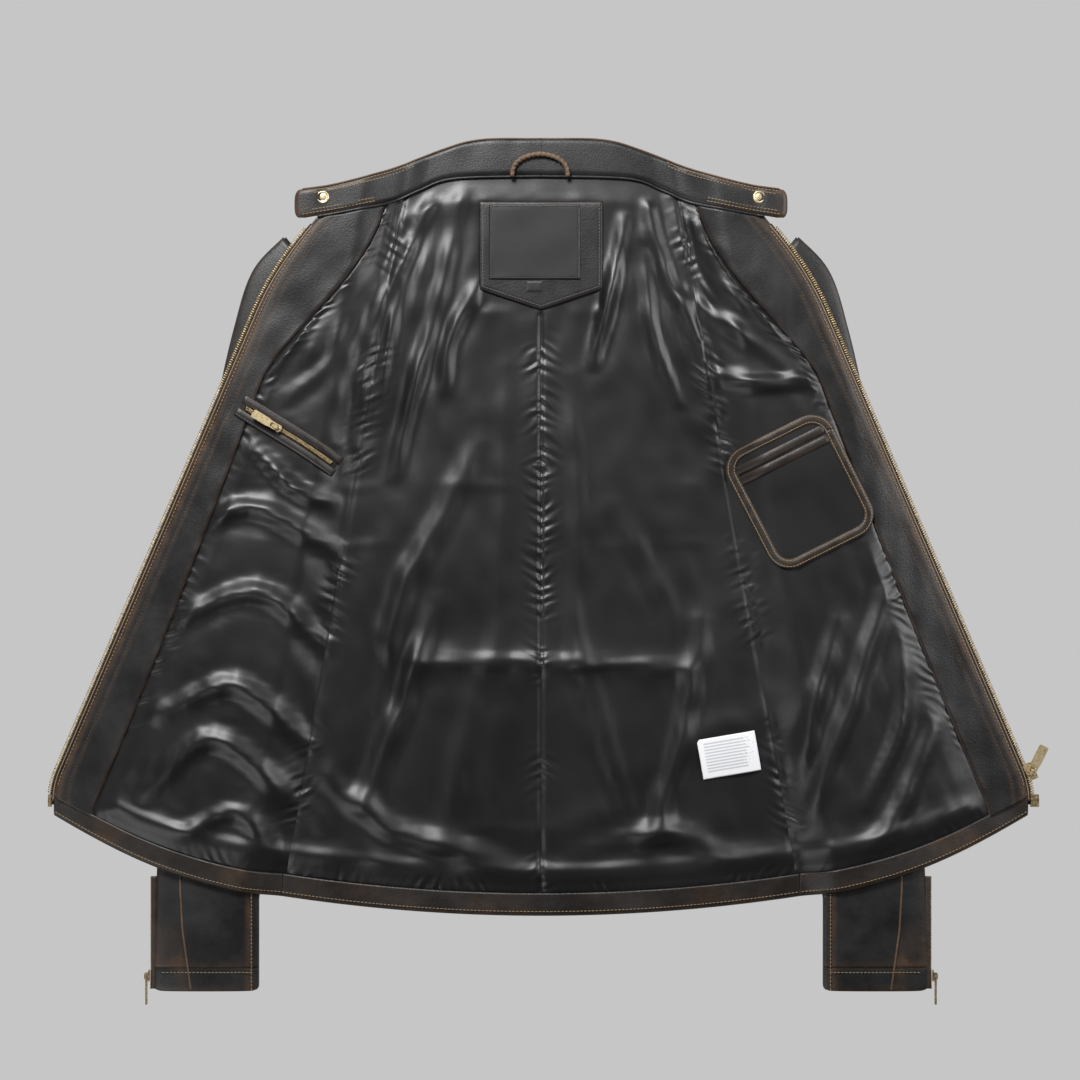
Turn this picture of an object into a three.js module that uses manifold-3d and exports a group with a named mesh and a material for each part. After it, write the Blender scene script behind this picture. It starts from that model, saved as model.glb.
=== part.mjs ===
// A leather riding jacket lying open on its back, its satin lining showing.
// Millimetres. +X runs across the jacket, +Y towards the collar, +Z up from the table.
import * as THREE from "three";
import { mergeVertices } from "three/addons/utils/BufferGeometryUtils.js";
import Module from "manifold-3d";

const wasm = await Module();
wasm.setup();

// ---- driving dimensions -------------------------------------------------------------------------
const GAP = 0.35; // clearance between neighbouring pieces
const LEATHER = 1.5; // outer leather
const LINING = 4.2; // satin lining with its padding
const FACING = 2.2; // leather facing with its seam allowance
const NECK_Y = 366; // neck seam at the centre back
const COLLAR_WIDTH = 34; // collar band at the centre back
const COLLAR_THICK = 4.6; // two layers of leather and the stiffening
const HEM_Y = -319; // hem at the centre back
const HEM_RISE = 0.000318; // the hem lifts by this times x squared
const HEM_FACING = 18; // width of the leather strip inside the hem
const FOLD_TOP = new THREE.Vector2(126, 345); // side fold line, neck end
const FOLD_ABOVE_HEM = 17; // the fold line ends this far above the centre back of the hem
const FOLD_BOTTOM = new THREE.Vector2(239, HEM_Y + FOLD_ABOVE_HEM); // side fold line, hem end
const SHOULDER = new THREE.Vector2(225, 300); // shoulder tip of the back panel
const ARMPIT = new THREE.Vector2(176, 203);
const ZIP_LOW = new THREE.Vector2(450, -183); // straight run of the front edge, hem end
const ZIP_HIGH = new THREE.Vector2(266, 240); // straight run of the front edge, neck end
const CORNER_Y = -222; // hem corner of the front edge
const FRONT_TOP_Y = 325; // neck end of the front edge
const HUMP_RUN = 40; // distance from the fold line over which it rises
const EDGE_LOW = 3; // underside of the front edge near the hem
const SLEEVE_HALF = 7; // half the height of the flattened sleeve
const SLEEVE_ROOM = 2.2; // room over the sleeve's height, under the front
const EDGE_ROOM = 2; // the same under the front edge near the neck
const HUMP = 2 * SLEEVE_HALF + SLEEVE_ROOM; // how far the front rises to pass over the sleeve
const EDGE_HIGH = 2 * SLEEVE_HALF + EDGE_ROOM; // underside of the front edge near the neck
const SLEEVE_CLEAR = 21; // sleeve's inner edge, outside the fold line
const SLEEVE_LINING = 0.9;
const CUFF_TOP = -366; // seam between sleeve and cuff band
const CUFF_END = -387;
const TEETH_WIDTH = 4.4;
const TEETH_THICK = 2.6;
const SNAP_RADIUS = 6;
const PATCH_HALF = 57; // neck patch
const PATCH_TOP = 341;
const PATCH_SIDE = 260;
const PATCH_POINT = 241;
const LABEL_WIDTH = 84;
const LABEL_HEIGHT = 69;
const LOOP_HALF = 25; // hanger loop
const LOOP_RISE = 21;
const LOOP_RADIUS = 2.5;
const CARE_LENGTH = 54;
const CARE_WIDTH = 37;
const POCKET_WIDTH = 100; // patch pocket, across its mouth
const POCKET_DEPTH = 118;
const POCKET_CORNER = 22;
const BINDING = 9;
const WELT_LENGTH = 106; // zip pocket
const WELT_WIDTH = 22;

// ---- levels -------------------------------------------------------------------------------------
const SHELL_TOP = LEATHER;
const INSIDE = SHELL_TOP + GAP + 0.7; // where lining and facings start, above the underside
const LINING_TOP = INSIDE + LINING;
const LIFT = 0.3; // front panels' underside beside the fold line
const YOKE_LIFT = LEATHER + GAP + 0.3; // extra lift where the shoulder of the back lies below

// ---- materials ----------------------------------------------------------------------------------
const finish = (color, roughness, metalness = 0) => ({ color, roughness, metalness });
const LEATHER_BLACK = finish(0x26262a, 0.45);
const LEATHER_WORN = finish(0x3a2f26, 0.5);
const SATIN = finish(0x2a282c, 0.35);
const LABEL_SATIN = finish(0x161618, 0.4);
const CARE_WHITE = finish(0xe8e8ea, 0.7);
const ANTIQUE = finish(0x8a7448, 0.35, 1);
const BRIGHT_BRASS = finish(0xcbb277, 0.28, 1);
const TAPE_BLACK = finish(0x1a1a1c, 0.8);
const CORD_BROWN = finish(0x6a5334, 0.6);

const group = new THREE.Group();
function add(name, geometry, look, parent = group) {
  const mesh = new THREE.Mesh(geometry, new THREE.MeshStandardMaterial(look));
  mesh.name = name;
  parent.add(mesh);
  return mesh;
}

// ---- shape helpers ------------------------------------------------------------------------------
const smooth = (t) => THREE.MathUtils.smoothstep(t, 0, 1);
const lerp = THREE.MathUtils.lerp;

// Moves every vertex of a geometry, flips it if the move mirrors it, and leaves position only.
function reshape(geometry, move) {
  const bare = geometry.clone();
  bare.deleteAttribute("normal");
  bare.deleteAttribute("uv");
  const position = bare.attributes.position;
  for (let i = 0; i < position.count; i += 1) {
    const spot = move(position.getX(i), position.getY(i), position.getZ(i));
    position.setXYZ(i, spot[0], spot[1], spot[2]);
  }
  const merged = mergeVertices(bare, 1e-4);
  if (signedVolume(merged) < 0) {
    const index = merged.index.array;
    for (let i = 0; i < index.length; i += 3) {
      [index[i], index[i + 1]] = [index[i + 1], index[i]];
    }
  }
  return merged;
}

function signedVolume(geometry) {
  const index = geometry.index.array;
  const corner = [0, 1, 2].map(() => new THREE.Vector3());
  let total = 0;
  for (let i = 0; i < index.length; i += 3) {
    corner.forEach((c, k) => c.fromBufferAttribute(geometry.attributes.position, index[i + k]));
    total += corner[0].dot(corner[1].clone().cross(corner[2]));
  }
  return total / 6;
}

// A box with nu by nv faces, bent so that (u, v, w) in 0..1 lands where the map says.
function bent(nu, nv, map) {
  const box = new THREE.BoxGeometry(1, 1, 1, nu, nv, 1);
  return reshape(box, (x, y, z) => map(x + 0.5, y + 0.5, z + 0.5));
}

// A flattened tube: v runs along it, the angle goes round it, w is 0 inside and 1 outside.
function tube(around, along, map) {
  const profile = [];
  for (let i = 0; i <= along; i += 1) profile.push(new THREE.Vector2(2, i / along));
  for (let i = along; i >= 0; i -= 1) profile.push(new THREE.Vector2(1, i / along));
  profile.push(profile[0].clone());
  const lathe = new THREE.LatheGeometry(profile, around);
  return reshape(lathe, (x, y, z) => map(Math.atan2(x, z), y, Math.hypot(x, z) - 1));
}

const mirrored = (geometry, side) => reshape(geometry, (x, y, z) => [side * x, y, z]);

function solid(geometry) {
  const bare = reshape(geometry, (x, y, z) => [x, y, z]);
  const mesh = new wasm.Mesh({
    numProp: 3,
    vertProperties: new Float32Array(bare.attributes.position.array),
    triVerts: new Uint32Array(bare.index.array),
  });
  return new wasm.Manifold(mesh);
}

function fromSolid(body) {
  const mesh = body.getMesh();
  const geometry = new THREE.BufferGeometry();
  geometry.setAttribute("position", new THREE.BufferAttribute(mesh.vertProperties, 3));
  geometry.setIndex(new THREE.BufferAttribute(mesh.triVerts, 1));
  return geometry;
}

const joined = (...parts) => fromSolid(parts.map(solid).reduce((a, b) => a.add(b)));
const block = (sx, sy, sz, x, y, z) => new THREE.BoxGeometry(sx, sy, sz).translate(x, y, z);

function outline(points) {
  return new THREE.Shape(points.map(([x, y]) => new THREE.Vector2(x, y)));
}

function slab(shape, low, high) {
  return new THREE.ExtrudeGeometry(shape, {
    depth: high - low,
    bevelEnabled: false,
    curveSegments: 8,
  }).translate(0, 0, low);
}

// ---- the jacket's lines, on its +X half ---------------------------------------------------------
const foldDirection = FOLD_BOTTOM.clone().sub(FOLD_TOP).normalize();
const foldX = (y) => FOLD_TOP.x + ((y - FOLD_TOP.y) * foldDirection.x) / foldDirection.y;
const fromFold = (x, y) => (foldX(y) - x) * foldDirection.y;
const hemY = (x) => HEM_Y + HEM_RISE * x * x;

function frontEdgeX(y) {
  const slope = (ZIP_HIGH.x - ZIP_LOW.x) / (ZIP_HIGH.y - ZIP_LOW.y);
  const straight = ZIP_LOW.x + (y - ZIP_LOW.y) * slope;
  const above = Math.max(0, y - ZIP_HIGH.y);
  const below = Math.max(0, ZIP_LOW.y - y);
  return straight - 0.00277 * above * above - 0.0072 * below * below;
}

// Smooth height of a line through a few points, by x.
function lineThrough(points) {
  const curve = new THREE.SplineCurve(points.map(([x, y]) => new THREE.Vector2(x, y)));
  const samples = curve.getPoints(160);
  return (x) => {
    const next = Math.max(1, samples.findIndex((p) => p.x >= x));
    const [a, b] = [samples[next - 1], samples[next]];
    return lerp(a.y, b.y, THREE.MathUtils.clamp((x - a.x) / (b.x - a.x), 0, 1));
  };
}

const neckLine = lineThrough([
  [0, NECK_Y], [60, NECK_Y - 1], [90, NECK_Y - 4], [112, NECK_Y - 13],
  [139, NECK_Y - 25], [172, NECK_Y - 33], [216, FRONT_TOP_Y], [240, FRONT_TOP_Y - 4],
]);
const collarLine = lineThrough([
  [0, NECK_Y + COLLAR_WIDTH], [56, NECK_Y + COLLAR_WIDTH - 1], [93, NECK_Y + COLLAR_WIDTH - 11],
  [148, NECK_Y + 1], [192, NECK_Y - 11], [226, NECK_Y - 16], [240, NECK_Y - 18],
]);

// Outer edge of the sleeve, by y.
const sleeveOuter = new THREE.SplineCurve([
  [CUFF_END - 13, 358], [CUFF_TOP + 76, 355], [-180, 348], [-60, 335], [50, 318],
  [150, 300], [222, 284], [277, 266], [SHOULDER.y + 12, SHOULDER.x + 9],
].map(([y, x]) => new THREE.Vector2(y, x))).getPoints(120);
function sleeveOuterX(y) {
  const next = Math.max(1, sleeveOuter.findIndex((p) => p.x >= y));
  const [a, b] = [sleeveOuter[next - 1], sleeveOuter[next]];
  return lerp(a.y, b.y, THREE.MathUtils.clamp((y - a.x) / (b.x - a.x), 0, 1));
}
const sleeveInnerX = (y) => foldX(Math.max(y, FOLD_BOTTOM.y)) + SLEEVE_CLEAR;

// Underside of whatever lies there: on the table at the fold line, over the sleeve beyond it, and
// down again to the front edge.
function underside(x, y) {
  const beyond = Math.max(0, fromFold(x, y));
  const yoke = YOKE_LIFT * smooth((y - ARMPIT.y + 85) / 50);
  const over = LIFT + yoke + (HUMP - yoke) * smooth(beyond / HUMP_RUN);
  const yEdge = THREE.MathUtils.clamp(y, CORNER_Y, FRONT_TOP_Y);
  const share = (yEdge - ZIP_LOW.y) / (ZIP_HIGH.y - ZIP_LOW.y);
  const edge = Math.min(lerp(EDGE_LOW, EDGE_HIGH, share), EDGE_HIGH + 2);
  const start = Math.min(sleeveOuterX(Math.min(y, SHOULDER.y)) - 18, frontEdgeX(yEdge) - 14);
  const toEdge = smooth((x - start) / Math.max(14, frontEdgeX(yEdge) - start));
  return lerp(over, edge, toEdge);
}

// ---- front panels: s runs from the fold line to the front edge, t from hem to neck --------------
const FOLD_GAP = 0.8;
function frontSpot(s, t) {
  const y = lerp(CORNER_Y, FRONT_TOP_Y, t);
  const innerY = lerp(FOLD_BOTTOM.y, neckLine(FOLD_TOP.x), t);
  const inner = foldX(innerY) + FOLD_GAP;
  const bow = -13 * 4 * s * (1 - s) * (1 - t) ** 3;
  const neckX = lerp(FOLD_TOP.x + FOLD_GAP, frontEdgeX(FRONT_TOP_Y), s);
  const neckSag = (neckLine(neckX) - lerp(neckLine(FOLD_TOP.x), FRONT_TOP_Y, s)) * t ** 6;
  return [lerp(inner, frontEdgeX(y), s), lerp(innerY, y, s) + bow + neckSag - GAP * t];
}

// Share of the panel taken by the lining: the facing is wide at the neck and narrow below.
const facingStart = (t) => lerp(0.72, 0.2, smooth((t - 0.72) / 0.26)) + 0.09 * (1 - t) * (1 - t);
const HEM_SHARE = HEM_FACING / (FRONT_TOP_Y - CORNER_Y);

// The panel's pieces share one grid: close columns up the rise beside the fold, then the rest of
// the lining, then the facing; a first row for the hem facing and a last one at the neck.
const EDGE_INSET = TEETH_WIDTH + 1.8 + GAP + 1; // room outside the panel for the zip tape and teeth
const RISE_COLUMNS = 8;
const LINING_COLUMNS = 11;
const COLUMNS = 17;
const ROWS = 16;
const HEM_ROW_TOP = HEM_SHARE + 0.002;
const NECK_ROW = 0.995;
function columnShare(column, t) {
  const start = facingStart(t);
  const width = frontEdgeX(lerp(CORNER_Y, FRONT_TOP_Y, t)) - foldX(lerp(CORNER_Y, FRONT_TOP_Y, t));
  const rise = Math.min((HUMP_RUN + 4) / width, 0.7 * start);
  if (column <= RISE_COLUMNS) return (rise * column) / RISE_COLUMNS;
  if (column <= LINING_COLUMNS) {
    return lerp(rise, start, (column - RISE_COLUMNS) / (LINING_COLUMNS - RISE_COLUMNS));
  }
  return lerp(start, 1 - EDGE_INSET / width, (column - LINING_COLUMNS) / (COLUMNS - LINING_COLUMNS));
}
function rowShare(row) {
  if (row <= 1) return row * HEM_SHARE;
  if (row > ROWS - 1) return 1;
  return lerp(HEM_ROW_TOP, NECK_ROW, (row - 1) / (ROWS - 2));
}
function frontPiece(columns, rows, low, high) {
  const [fromColumn, toColumn] = columns;
  const [fromRow, toRow] = rows;
  return bent(toColumn - fromColumn, toRow - fromRow, (u, v, w) => {
    const row = Math.round(lerp(fromRow, toRow, v));
    const t = row === 1 && toRow > 1 && fromRow === 1 ? HEM_ROW_TOP : rowShare(row);
    const column = Math.round(lerp(fromColumn, toColumn, u));
    const parting = column === toColumn && toColumn === LINING_COLUMNS ? 0.005 : 0;
    const [x, y] = frontSpot(columnShare(column, t) - parting, t);
    return [x, y, underside(x, y) + lerp(low, high, w)];
  });
}
const frontShell = frontPiece([0, COLUMNS], [0, ROWS], 0, LEATHER);
const frontLining = frontPiece([0, LINING_COLUMNS], [1, ROWS - 1], INSIDE, LINING_TOP);
const FACING_BASE = INSIDE + 0.9;
const frontFacing = frontPiece(
  [LINING_COLUMNS, COLUMNS], [1, ROWS - 1], FACING_BASE, FACING_BASE + FACING,
);
const frontHem = frontPiece([0, COLUMNS], [0, 1], INSIDE, INSIDE + FACING);

// ---- main zip: a tape beside the shell's edge and a row of teeth outside it ---------------------
const ZIP_TOP_Y = FRONT_TOP_Y - 10;
const TEETH_BOTTOM_Y = CORNER_Y + 16;
function alongEdge(nv, yRange, xRange, low, high) {
  return bent(1, nv, (u, v, w) => {
    const y = lerp(yRange[0], yRange[1], v);
    const x = frontEdgeX(y) + lerp(xRange[0], xRange[1], u);
    return [x, y, underside(frontEdgeX(y), y) + lerp(low, high, w)];
  });
}
const TAPE_OUT = -TEETH_WIDTH;
const zipTape = alongEdge(26, [CORNER_Y + 6, ZIP_TOP_Y + 4], [TAPE_OUT - 1.8, TAPE_OUT - 0.5], 0.4, 1.4);
const zipTeeth = alongEdge(
  26, [TEETH_BOTTOM_Y, ZIP_TOP_Y], [TAPE_OUT + GAP, 0], 0, TEETH_THICK,
);

// ---- sleeves and cuffs --------------------------------------------------------------------------
const SLEEVE_LEVEL = SLEEVE_HALF + 0.5;
const ARMHOLE_CLEAR = 7;
const sleeveTop = {
  inner: new THREE.Vector2(sleeveInnerX(ARMPIT.y - 8), ARMPIT.y - 8),
  outer: new THREE.Vector2(SHOULDER.x + ARMHOLE_CLEAR, SHOULDER.y + 4),
};
function sleeveSpot(angle, v, yStart, yEnd, half, inset) {
  const yIn = lerp(yStart.inner, yEnd, v);
  const yOut = lerp(yStart.outer, yEnd, v);
  const inner = sleeveInnerX(yIn) + inset;
  const outer = sleeveOuterX(yOut) - inset;
  const across = 0.5 + 0.5 * Math.cos(angle);
  return [
    lerp(inner, outer, across),
    lerp(yIn, yOut, across),
    SLEEVE_LEVEL + (half - inset) * Math.sin(angle),
  ];
}
function sleeveTube(around, along, yStart, yEnd, half, outside, inside) {
  return tube(around, along, (angle, v, w) =>
    sleeveSpot(angle, v, yStart, yEnd, half, lerp(inside, outside, w)));
}
const armhole = { inner: sleeveTop.inner.y, outer: sleeveTop.outer.y };
const LINING_INSET = LEATHER + GAP + 0.5;
const LINING_INNER = LINING_INSET + SLEEVE_LINING;
const sleeve = sleeveTube(20, 8, armhole, CUFF_TOP + GAP, SLEEVE_HALF, 0, LEATHER);
const sleeveLining = sleeveTube(
  20, 8, armhole, CUFF_TOP + GAP, SLEEVE_HALF, LINING_INSET, LINING_INNER,
);
const cuffStart = { inner: CUFF_TOP, outer: CUFF_TOP };
const cuffBand = sleeveTube(20, 2, cuffStart, CUFF_END, SLEEVE_HALF, -0.5, LEATHER + 0.6);

// ---- back ---------------------------------------------------------------------------------------
function halfThenMirror(points) {
  const other = points.map(([x, y]) => [-x, y]).reverse();
  return outline([...points, ...other]);
}
const steps = (count, at) => Array.from({ length: count + 1 }, (_, i) => at(i / count));
const neckEdge = steps(8, (u) => {
  const x = lerp(1, FOLD_TOP.x - 2, u);
  return [x, neckLine(x) - GAP];
});
const hemEdge = steps(8, (u) => {
  const x = lerp(foldX(FOLD_BOTTOM.y) - FOLD_GAP, 1, u);
  return [x, hemY(x)];
});
const backShell = slab(halfThenMirror([
  ...neckEdge,
  [SHOULDER.x, SHOULDER.y],
  [lerp(ARMPIT.x, SHOULDER.x, 0.3), lerp(ARMPIT.y, SHOULDER.y, 0.55)],
  [foldX(ARMPIT.y - 30) - FOLD_GAP, ARMPIT.y - 30],
  ...hemEdge,
]), 0, LEATHER);
function backBetween(nu, nv, low, high, zLow, zHigh) {
  return bent(nu, nv, (u, v, w) => {
    const side = 2 * u - 1;
    const edgeLow = foldX(FOLD_BOTTOM.y) - FOLD_GAP;
    const edgeHigh = FOLD_TOP.x - FOLD_GAP;
    const yLow = hemY(side * edgeLow) + low;
    const yHigh = high === null ? neckLine(Math.abs(side) * edgeHigh) - GAP : yLow + high;
    const y = lerp(yLow, yHigh, v);
    return [side * (foldX(y) - FOLD_GAP), y, lerp(zLow, zHigh, w)];
  });
}
const backLining = backBetween(16, 8, HEM_FACING + GAP, null, INSIDE, LINING_TOP);
const backHem = backBetween(16, 1, 0, HEM_FACING, INSIDE, INSIDE + FACING);

// ---- collar -------------------------------------------------------------------------------------
const COLLAR_TOP_X = FOLD_TOP.x - 5.5;
function collarPiece(nu, from, to) {
  return bent(nu, 4, (u, v, w) => {
    const neckX = lerp(from[0], to[0], u);
    const topX = lerp(from[1], to[1], u);
    const low = neckLine(Math.abs(neckX)) + GAP;
    const x = lerp(neckX, topX, v);
    const y = lerp(low, collarLine(Math.abs(topX)), v);
    return [x, y, underside(Math.abs(x), y) + lerp(0, COLLAR_THICK, w)];
  });
}
const backHalf = FOLD_TOP.x - FOLD_GAP;
const backTop = COLLAR_TOP_X - FOLD_GAP;
const collarBack = collarPiece(16, [-backHalf, -backTop], [backHalf, backTop]);
const collarEnd = collarPiece(10, [FOLD_TOP.x + FOLD_GAP, COLLAR_TOP_X + FOLD_GAP], [224, 226]);

// ---- snaps --------------------------------------------------------------------------------------
const SNAP = new THREE.Vector2(200, 343);
function snapCap() {
  const base = underside(SNAP.x, SNAP.y) + COLLAR_THICK + 0.9;
  const dome = [[0, 0], [SNAP_RADIUS, 0], [SNAP_RADIUS, 0.7], [4.6, 1.5], [2.4, 1.9], [0, 2]];
  return new THREE.LatheGeometry(dome.map(([r, h]) => new THREE.Vector2(r, h)), 24)
    .rotateX(Math.PI / 2)
    .translate(SNAP.x, SNAP.y, base);
}
function snapSocket() {
  const base = underside(SNAP.x, SNAP.y) - 2.3;
  const cup = [[0, 0], [5.2, 0], [5.2, 1.4], [0, 1.4]];
  return new THREE.LatheGeometry(cup.map(([r, h]) => new THREE.Vector2(r, h)), 20)
    .rotateX(Math.PI / 2)
    .translate(SNAP.x, SNAP.y, base);
}

// ---- both sides ---------------------------------------------------------------------------------
for (const [label, side] of [["left", 1], ["right", -1]]) {
  add(`front_shell_${label}`, mirrored(frontShell, side), LEATHER_BLACK);
  add(`front_lining_${label}`, mirrored(frontLining, side), SATIN);
  add(`front_facing_${label}`, mirrored(frontFacing, side), LEATHER_BLACK);
  add(`front_hem_facing_${label}`, mirrored(frontHem, side), LEATHER_WORN);
  add(`zip_tape_${label}`, mirrored(zipTape, side), TAPE_BLACK);
  add(`zip_teeth_${label}`, mirrored(zipTeeth, side), ANTIQUE);
  add(`collar_end_${label}`, mirrored(collarEnd, side), LEATHER_BLACK);
  add(`snap_cap_${label}`, mirrored(snapCap(), side), BRIGHT_BRASS);
  add(`snap_socket_${label}`, mirrored(snapSocket(), side), ANTIQUE);
  add(`sleeve_${label}`, mirrored(sleeve, side), LEATHER_BLACK);
  add(`sleeve_lining_${label}`, mirrored(sleeveLining, side), SATIN);
  add(`cuff_band_${label}`, mirrored(cuffBand, side), LEATHER_WORN);
}
add("back_shell", backShell, LEATHER_BLACK);
add("back_lining", backLining, SATIN);
add("back_hem_facing", backHem, LEATHER_WORN);
add("collar_back", collarBack, LEATHER_BLACK);

// ---- neck patch, label, size tab, hanger loop ---------------------------------------------------
const PATCH_BASE = LINING_TOP + GAP;
const PATCH_THICK = 1.3;
const LABEL_BASE = PATCH_BASE + PATCH_THICK + 0.3;
const LABEL_THICK = 0.6;
const LABEL_TOP_Y = PATCH_TOP - 3;
add("neck_patch", slab(outline([
  [-PATCH_HALF, PATCH_TOP], [-PATCH_HALF, PATCH_SIDE], [-PATCH_HALF + 14, PATCH_SIDE - 7],
  [-4, PATCH_POINT], [4, PATCH_POINT], [PATCH_HALF - 14, PATCH_SIDE - 7],
  [PATCH_HALF, PATCH_SIDE], [PATCH_HALF, PATCH_TOP],
]), PATCH_BASE, PATCH_BASE + PATCH_THICK), LEATHER_BLACK);
add("neck_label", block(
  LABEL_WIDTH, LABEL_HEIGHT, LABEL_THICK, -6, LABEL_TOP_Y - LABEL_HEIGHT / 2,
  LABEL_BASE + LABEL_THICK / 2,
), LABEL_SATIN);
add("size_tab", block(
  15, 10, LABEL_THICK, -6, LABEL_TOP_Y - LABEL_HEIGHT - 6.5, LABEL_BASE + LABEL_THICK / 2,
), LABEL_SATIN);

const LOOP_LEVEL = LABEL_BASE + LOOP_RADIUS - 0.8;
const loopPath = new THREE.CatmullRomCurve3([
  [-LOOP_HALF, 0], [-0.8 * LOOP_HALF, 0.45 * LOOP_RISE], [-0.42 * LOOP_HALF, 0.88 * LOOP_RISE],
  [0, LOOP_RISE], [0.42 * LOOP_HALF, 0.88 * LOOP_RISE], [0.8 * LOOP_HALF, 0.45 * LOOP_RISE],
  [LOOP_HALF, 0],
].map(([x, y]) => new THREE.Vector3(x, NECK_Y - 2 + y, LOOP_LEVEL)));
const loopSection = new THREE.Shape().absarc(0, 0, LOOP_RADIUS, 0, 2 * Math.PI);
add("hanger_loop", reshape(new THREE.ExtrudeGeometry(loopSection, {
  extrudePath: loopPath, steps: 24, curveSegments: 5, bevelEnabled: false,
}), (x, y, z) => [x, y, z]), CORD_BROWN);

// ---- care label, sewn in along its outer edge ---------------------------------------------------
const careGroup = new THREE.Group();
careGroup.position.set(foldX(-165) - 15, -165, LINING_TOP + GAP + 0.35);
careGroup.rotation.z = THREE.MathUtils.degToRad(10);
group.add(careGroup);
add("care_label", block(CARE_LENGTH, CARE_WIDTH, 0.6, -CARE_LENGTH / 2, 0, 0), CARE_WHITE, careGroup);

// ---- zip sliders: y is the way it travels, z points out of the zip's face -----------------------
const CROWN_WIDTH = 2.4;
const BAR_RADIUS = 0.8;
const BAR_HEIGHT = 1.9;
function crown(length) {
  const arch = outline([[-length / 2, 0], [-length / 2, 3], [-length / 2 + 1, 3.9],
    [length / 2 - 1, 3.9], [length / 2, 3], [length / 2, 0]]);
  arch.holes.push(outline([[-1.4, 0.6], [1.4, 0.6], [1.4, 3.1], [-1.4, 3.1]]));
  return new THREE.ExtrudeGeometry(arch, { depth: CROWN_WIDTH, bevelEnabled: false })
    .translate(0, 0, -CROWN_WIDTH / 2)
    .rotateY(Math.PI / 2)
    .rotateX(Math.PI / 2);
}
function sliderPlate(wide, narrow, length, thick) {
  return slab(outline([
    [-wide / 2, length / 2], [-narrow / 2, -length / 2], [narrow / 2, -length / 2],
    [wide / 2, length / 2], [0.2 * wide, length / 2 + 1.4], [-0.2 * wide, length / 2 + 1.4],
  ]), 0, thick);
}
// The tab lies along -y from its bar, which sits in the crown.
function puller(length, width, eye, thick) {
  const tab = outline([
    [-eye, BAR_RADIUS], [-eye, -5.5], [-width / 2, -8], [-width / 2, 1 - length],
    [1 - width / 2, -length], [width / 2 - 1, -length], [width / 2, 1 - length],
    [width / 2, -8], [eye, -5.5], [eye, BAR_RADIUS],
  ]);
  const inner = eye - 1.3;
  tab.holes.push(outline([[-inner, -BAR_RADIUS], [inner, -BAR_RADIUS], [inner, -5], [-inner, -5]]));
  return slab(tab, BAR_HEIGHT - thick / 2, BAR_HEIGHT + thick / 2);
}
function slider(name, place, plate, length, pull, extras = []) {
  const holder = new THREE.Group();
  holder.position.copy(place.position);
  holder.quaternion.setFromRotationMatrix(
    new THREE.Matrix4().makeBasis(place.across, place.travel, place.out),
  );
  group.add(holder);
  const top = sliderPlate(plate.wide, plate.narrow, length, plate.thick)
    .translate(0, 0, -plate.thick);
  const arch = crown(6.4).rotateZ(pull.turn).translate(0, 0, -0.1);
  add(`${name}_slider`, joined(top, arch, ...extras),
    BRIGHT_BRASS, holder);
  const hanging = new THREE.Group();
  hanging.rotation.z = pull.turn;
  holder.add(hanging);
  add(`${name}_puller`, puller(pull.length, pull.width, pull.eye, 1.4), BRIGHT_BRASS, hanging);
}

// Main slider, wrapped round the outermost teeth of the left front near the hem.
const SLIDER_Y = TEETH_BOTTOM_Y + 20;
const edgeSpot = (y) => new THREE.Vector3(frontEdgeX(y), y, underside(frontEdgeX(y), y));
const zipTravel = edgeSpot(ZIP_HIGH.y).sub(edgeSpot(SLIDER_Y)).normalize();
const zipAcross = new THREE.Vector3(zipTravel.y, -zipTravel.x, 0).normalize();
const zipOut = zipAcross.clone().cross(zipTravel);
const TOP_PLATE = 1.3;
const CHANNEL = TEETH_THICK + 0.9; // room between the two plates
const SLIDER_LENGTH = 15;
const plateLevel = TEETH_THICK + 0.45 + TOP_PLATE;
const sliderOrigin = edgeSpot(SLIDER_Y)
  .addScaledVector(zipOut, plateLevel)
  .addScaledVector(zipAcross, 1);
const bottomLevel = -TOP_PLATE - CHANNEL;
slider("main_zip", {
  position: sliderOrigin, across: zipAcross, travel: zipTravel, out: zipOut,
}, { wide: 10, narrow: 8, thick: TOP_PLATE }, SLIDER_LENGTH,
{ length: 27, width: 9, eye: 4, turn: THREE.MathUtils.degToRad(130) }, [
  block(9, SLIDER_LENGTH, 1.2, 0, 0, bottomLevel - 0.6),
  block(3.4, SLIDER_LENGTH, CHANNEL + 1.6, 2.9, 0, bottomLevel + CHANNEL / 2),
]);

// Retainer box below the slider, and on the other side the pin that goes into it.
function edgeStop(width, thick) {
  return alongEdge(2, [CORNER_Y + 4, TEETH_BOTTOM_Y - 0.6], [TAPE_OUT + GAP, width], 0, thick);
}
add("zip_retainer_box", mirrored(edgeStop(3.5, 4.2), 1), ANTIQUE);
add("zip_insertion_pin", mirrored(edgeStop(-0.8, 2.6), -1), ANTIQUE);

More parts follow.
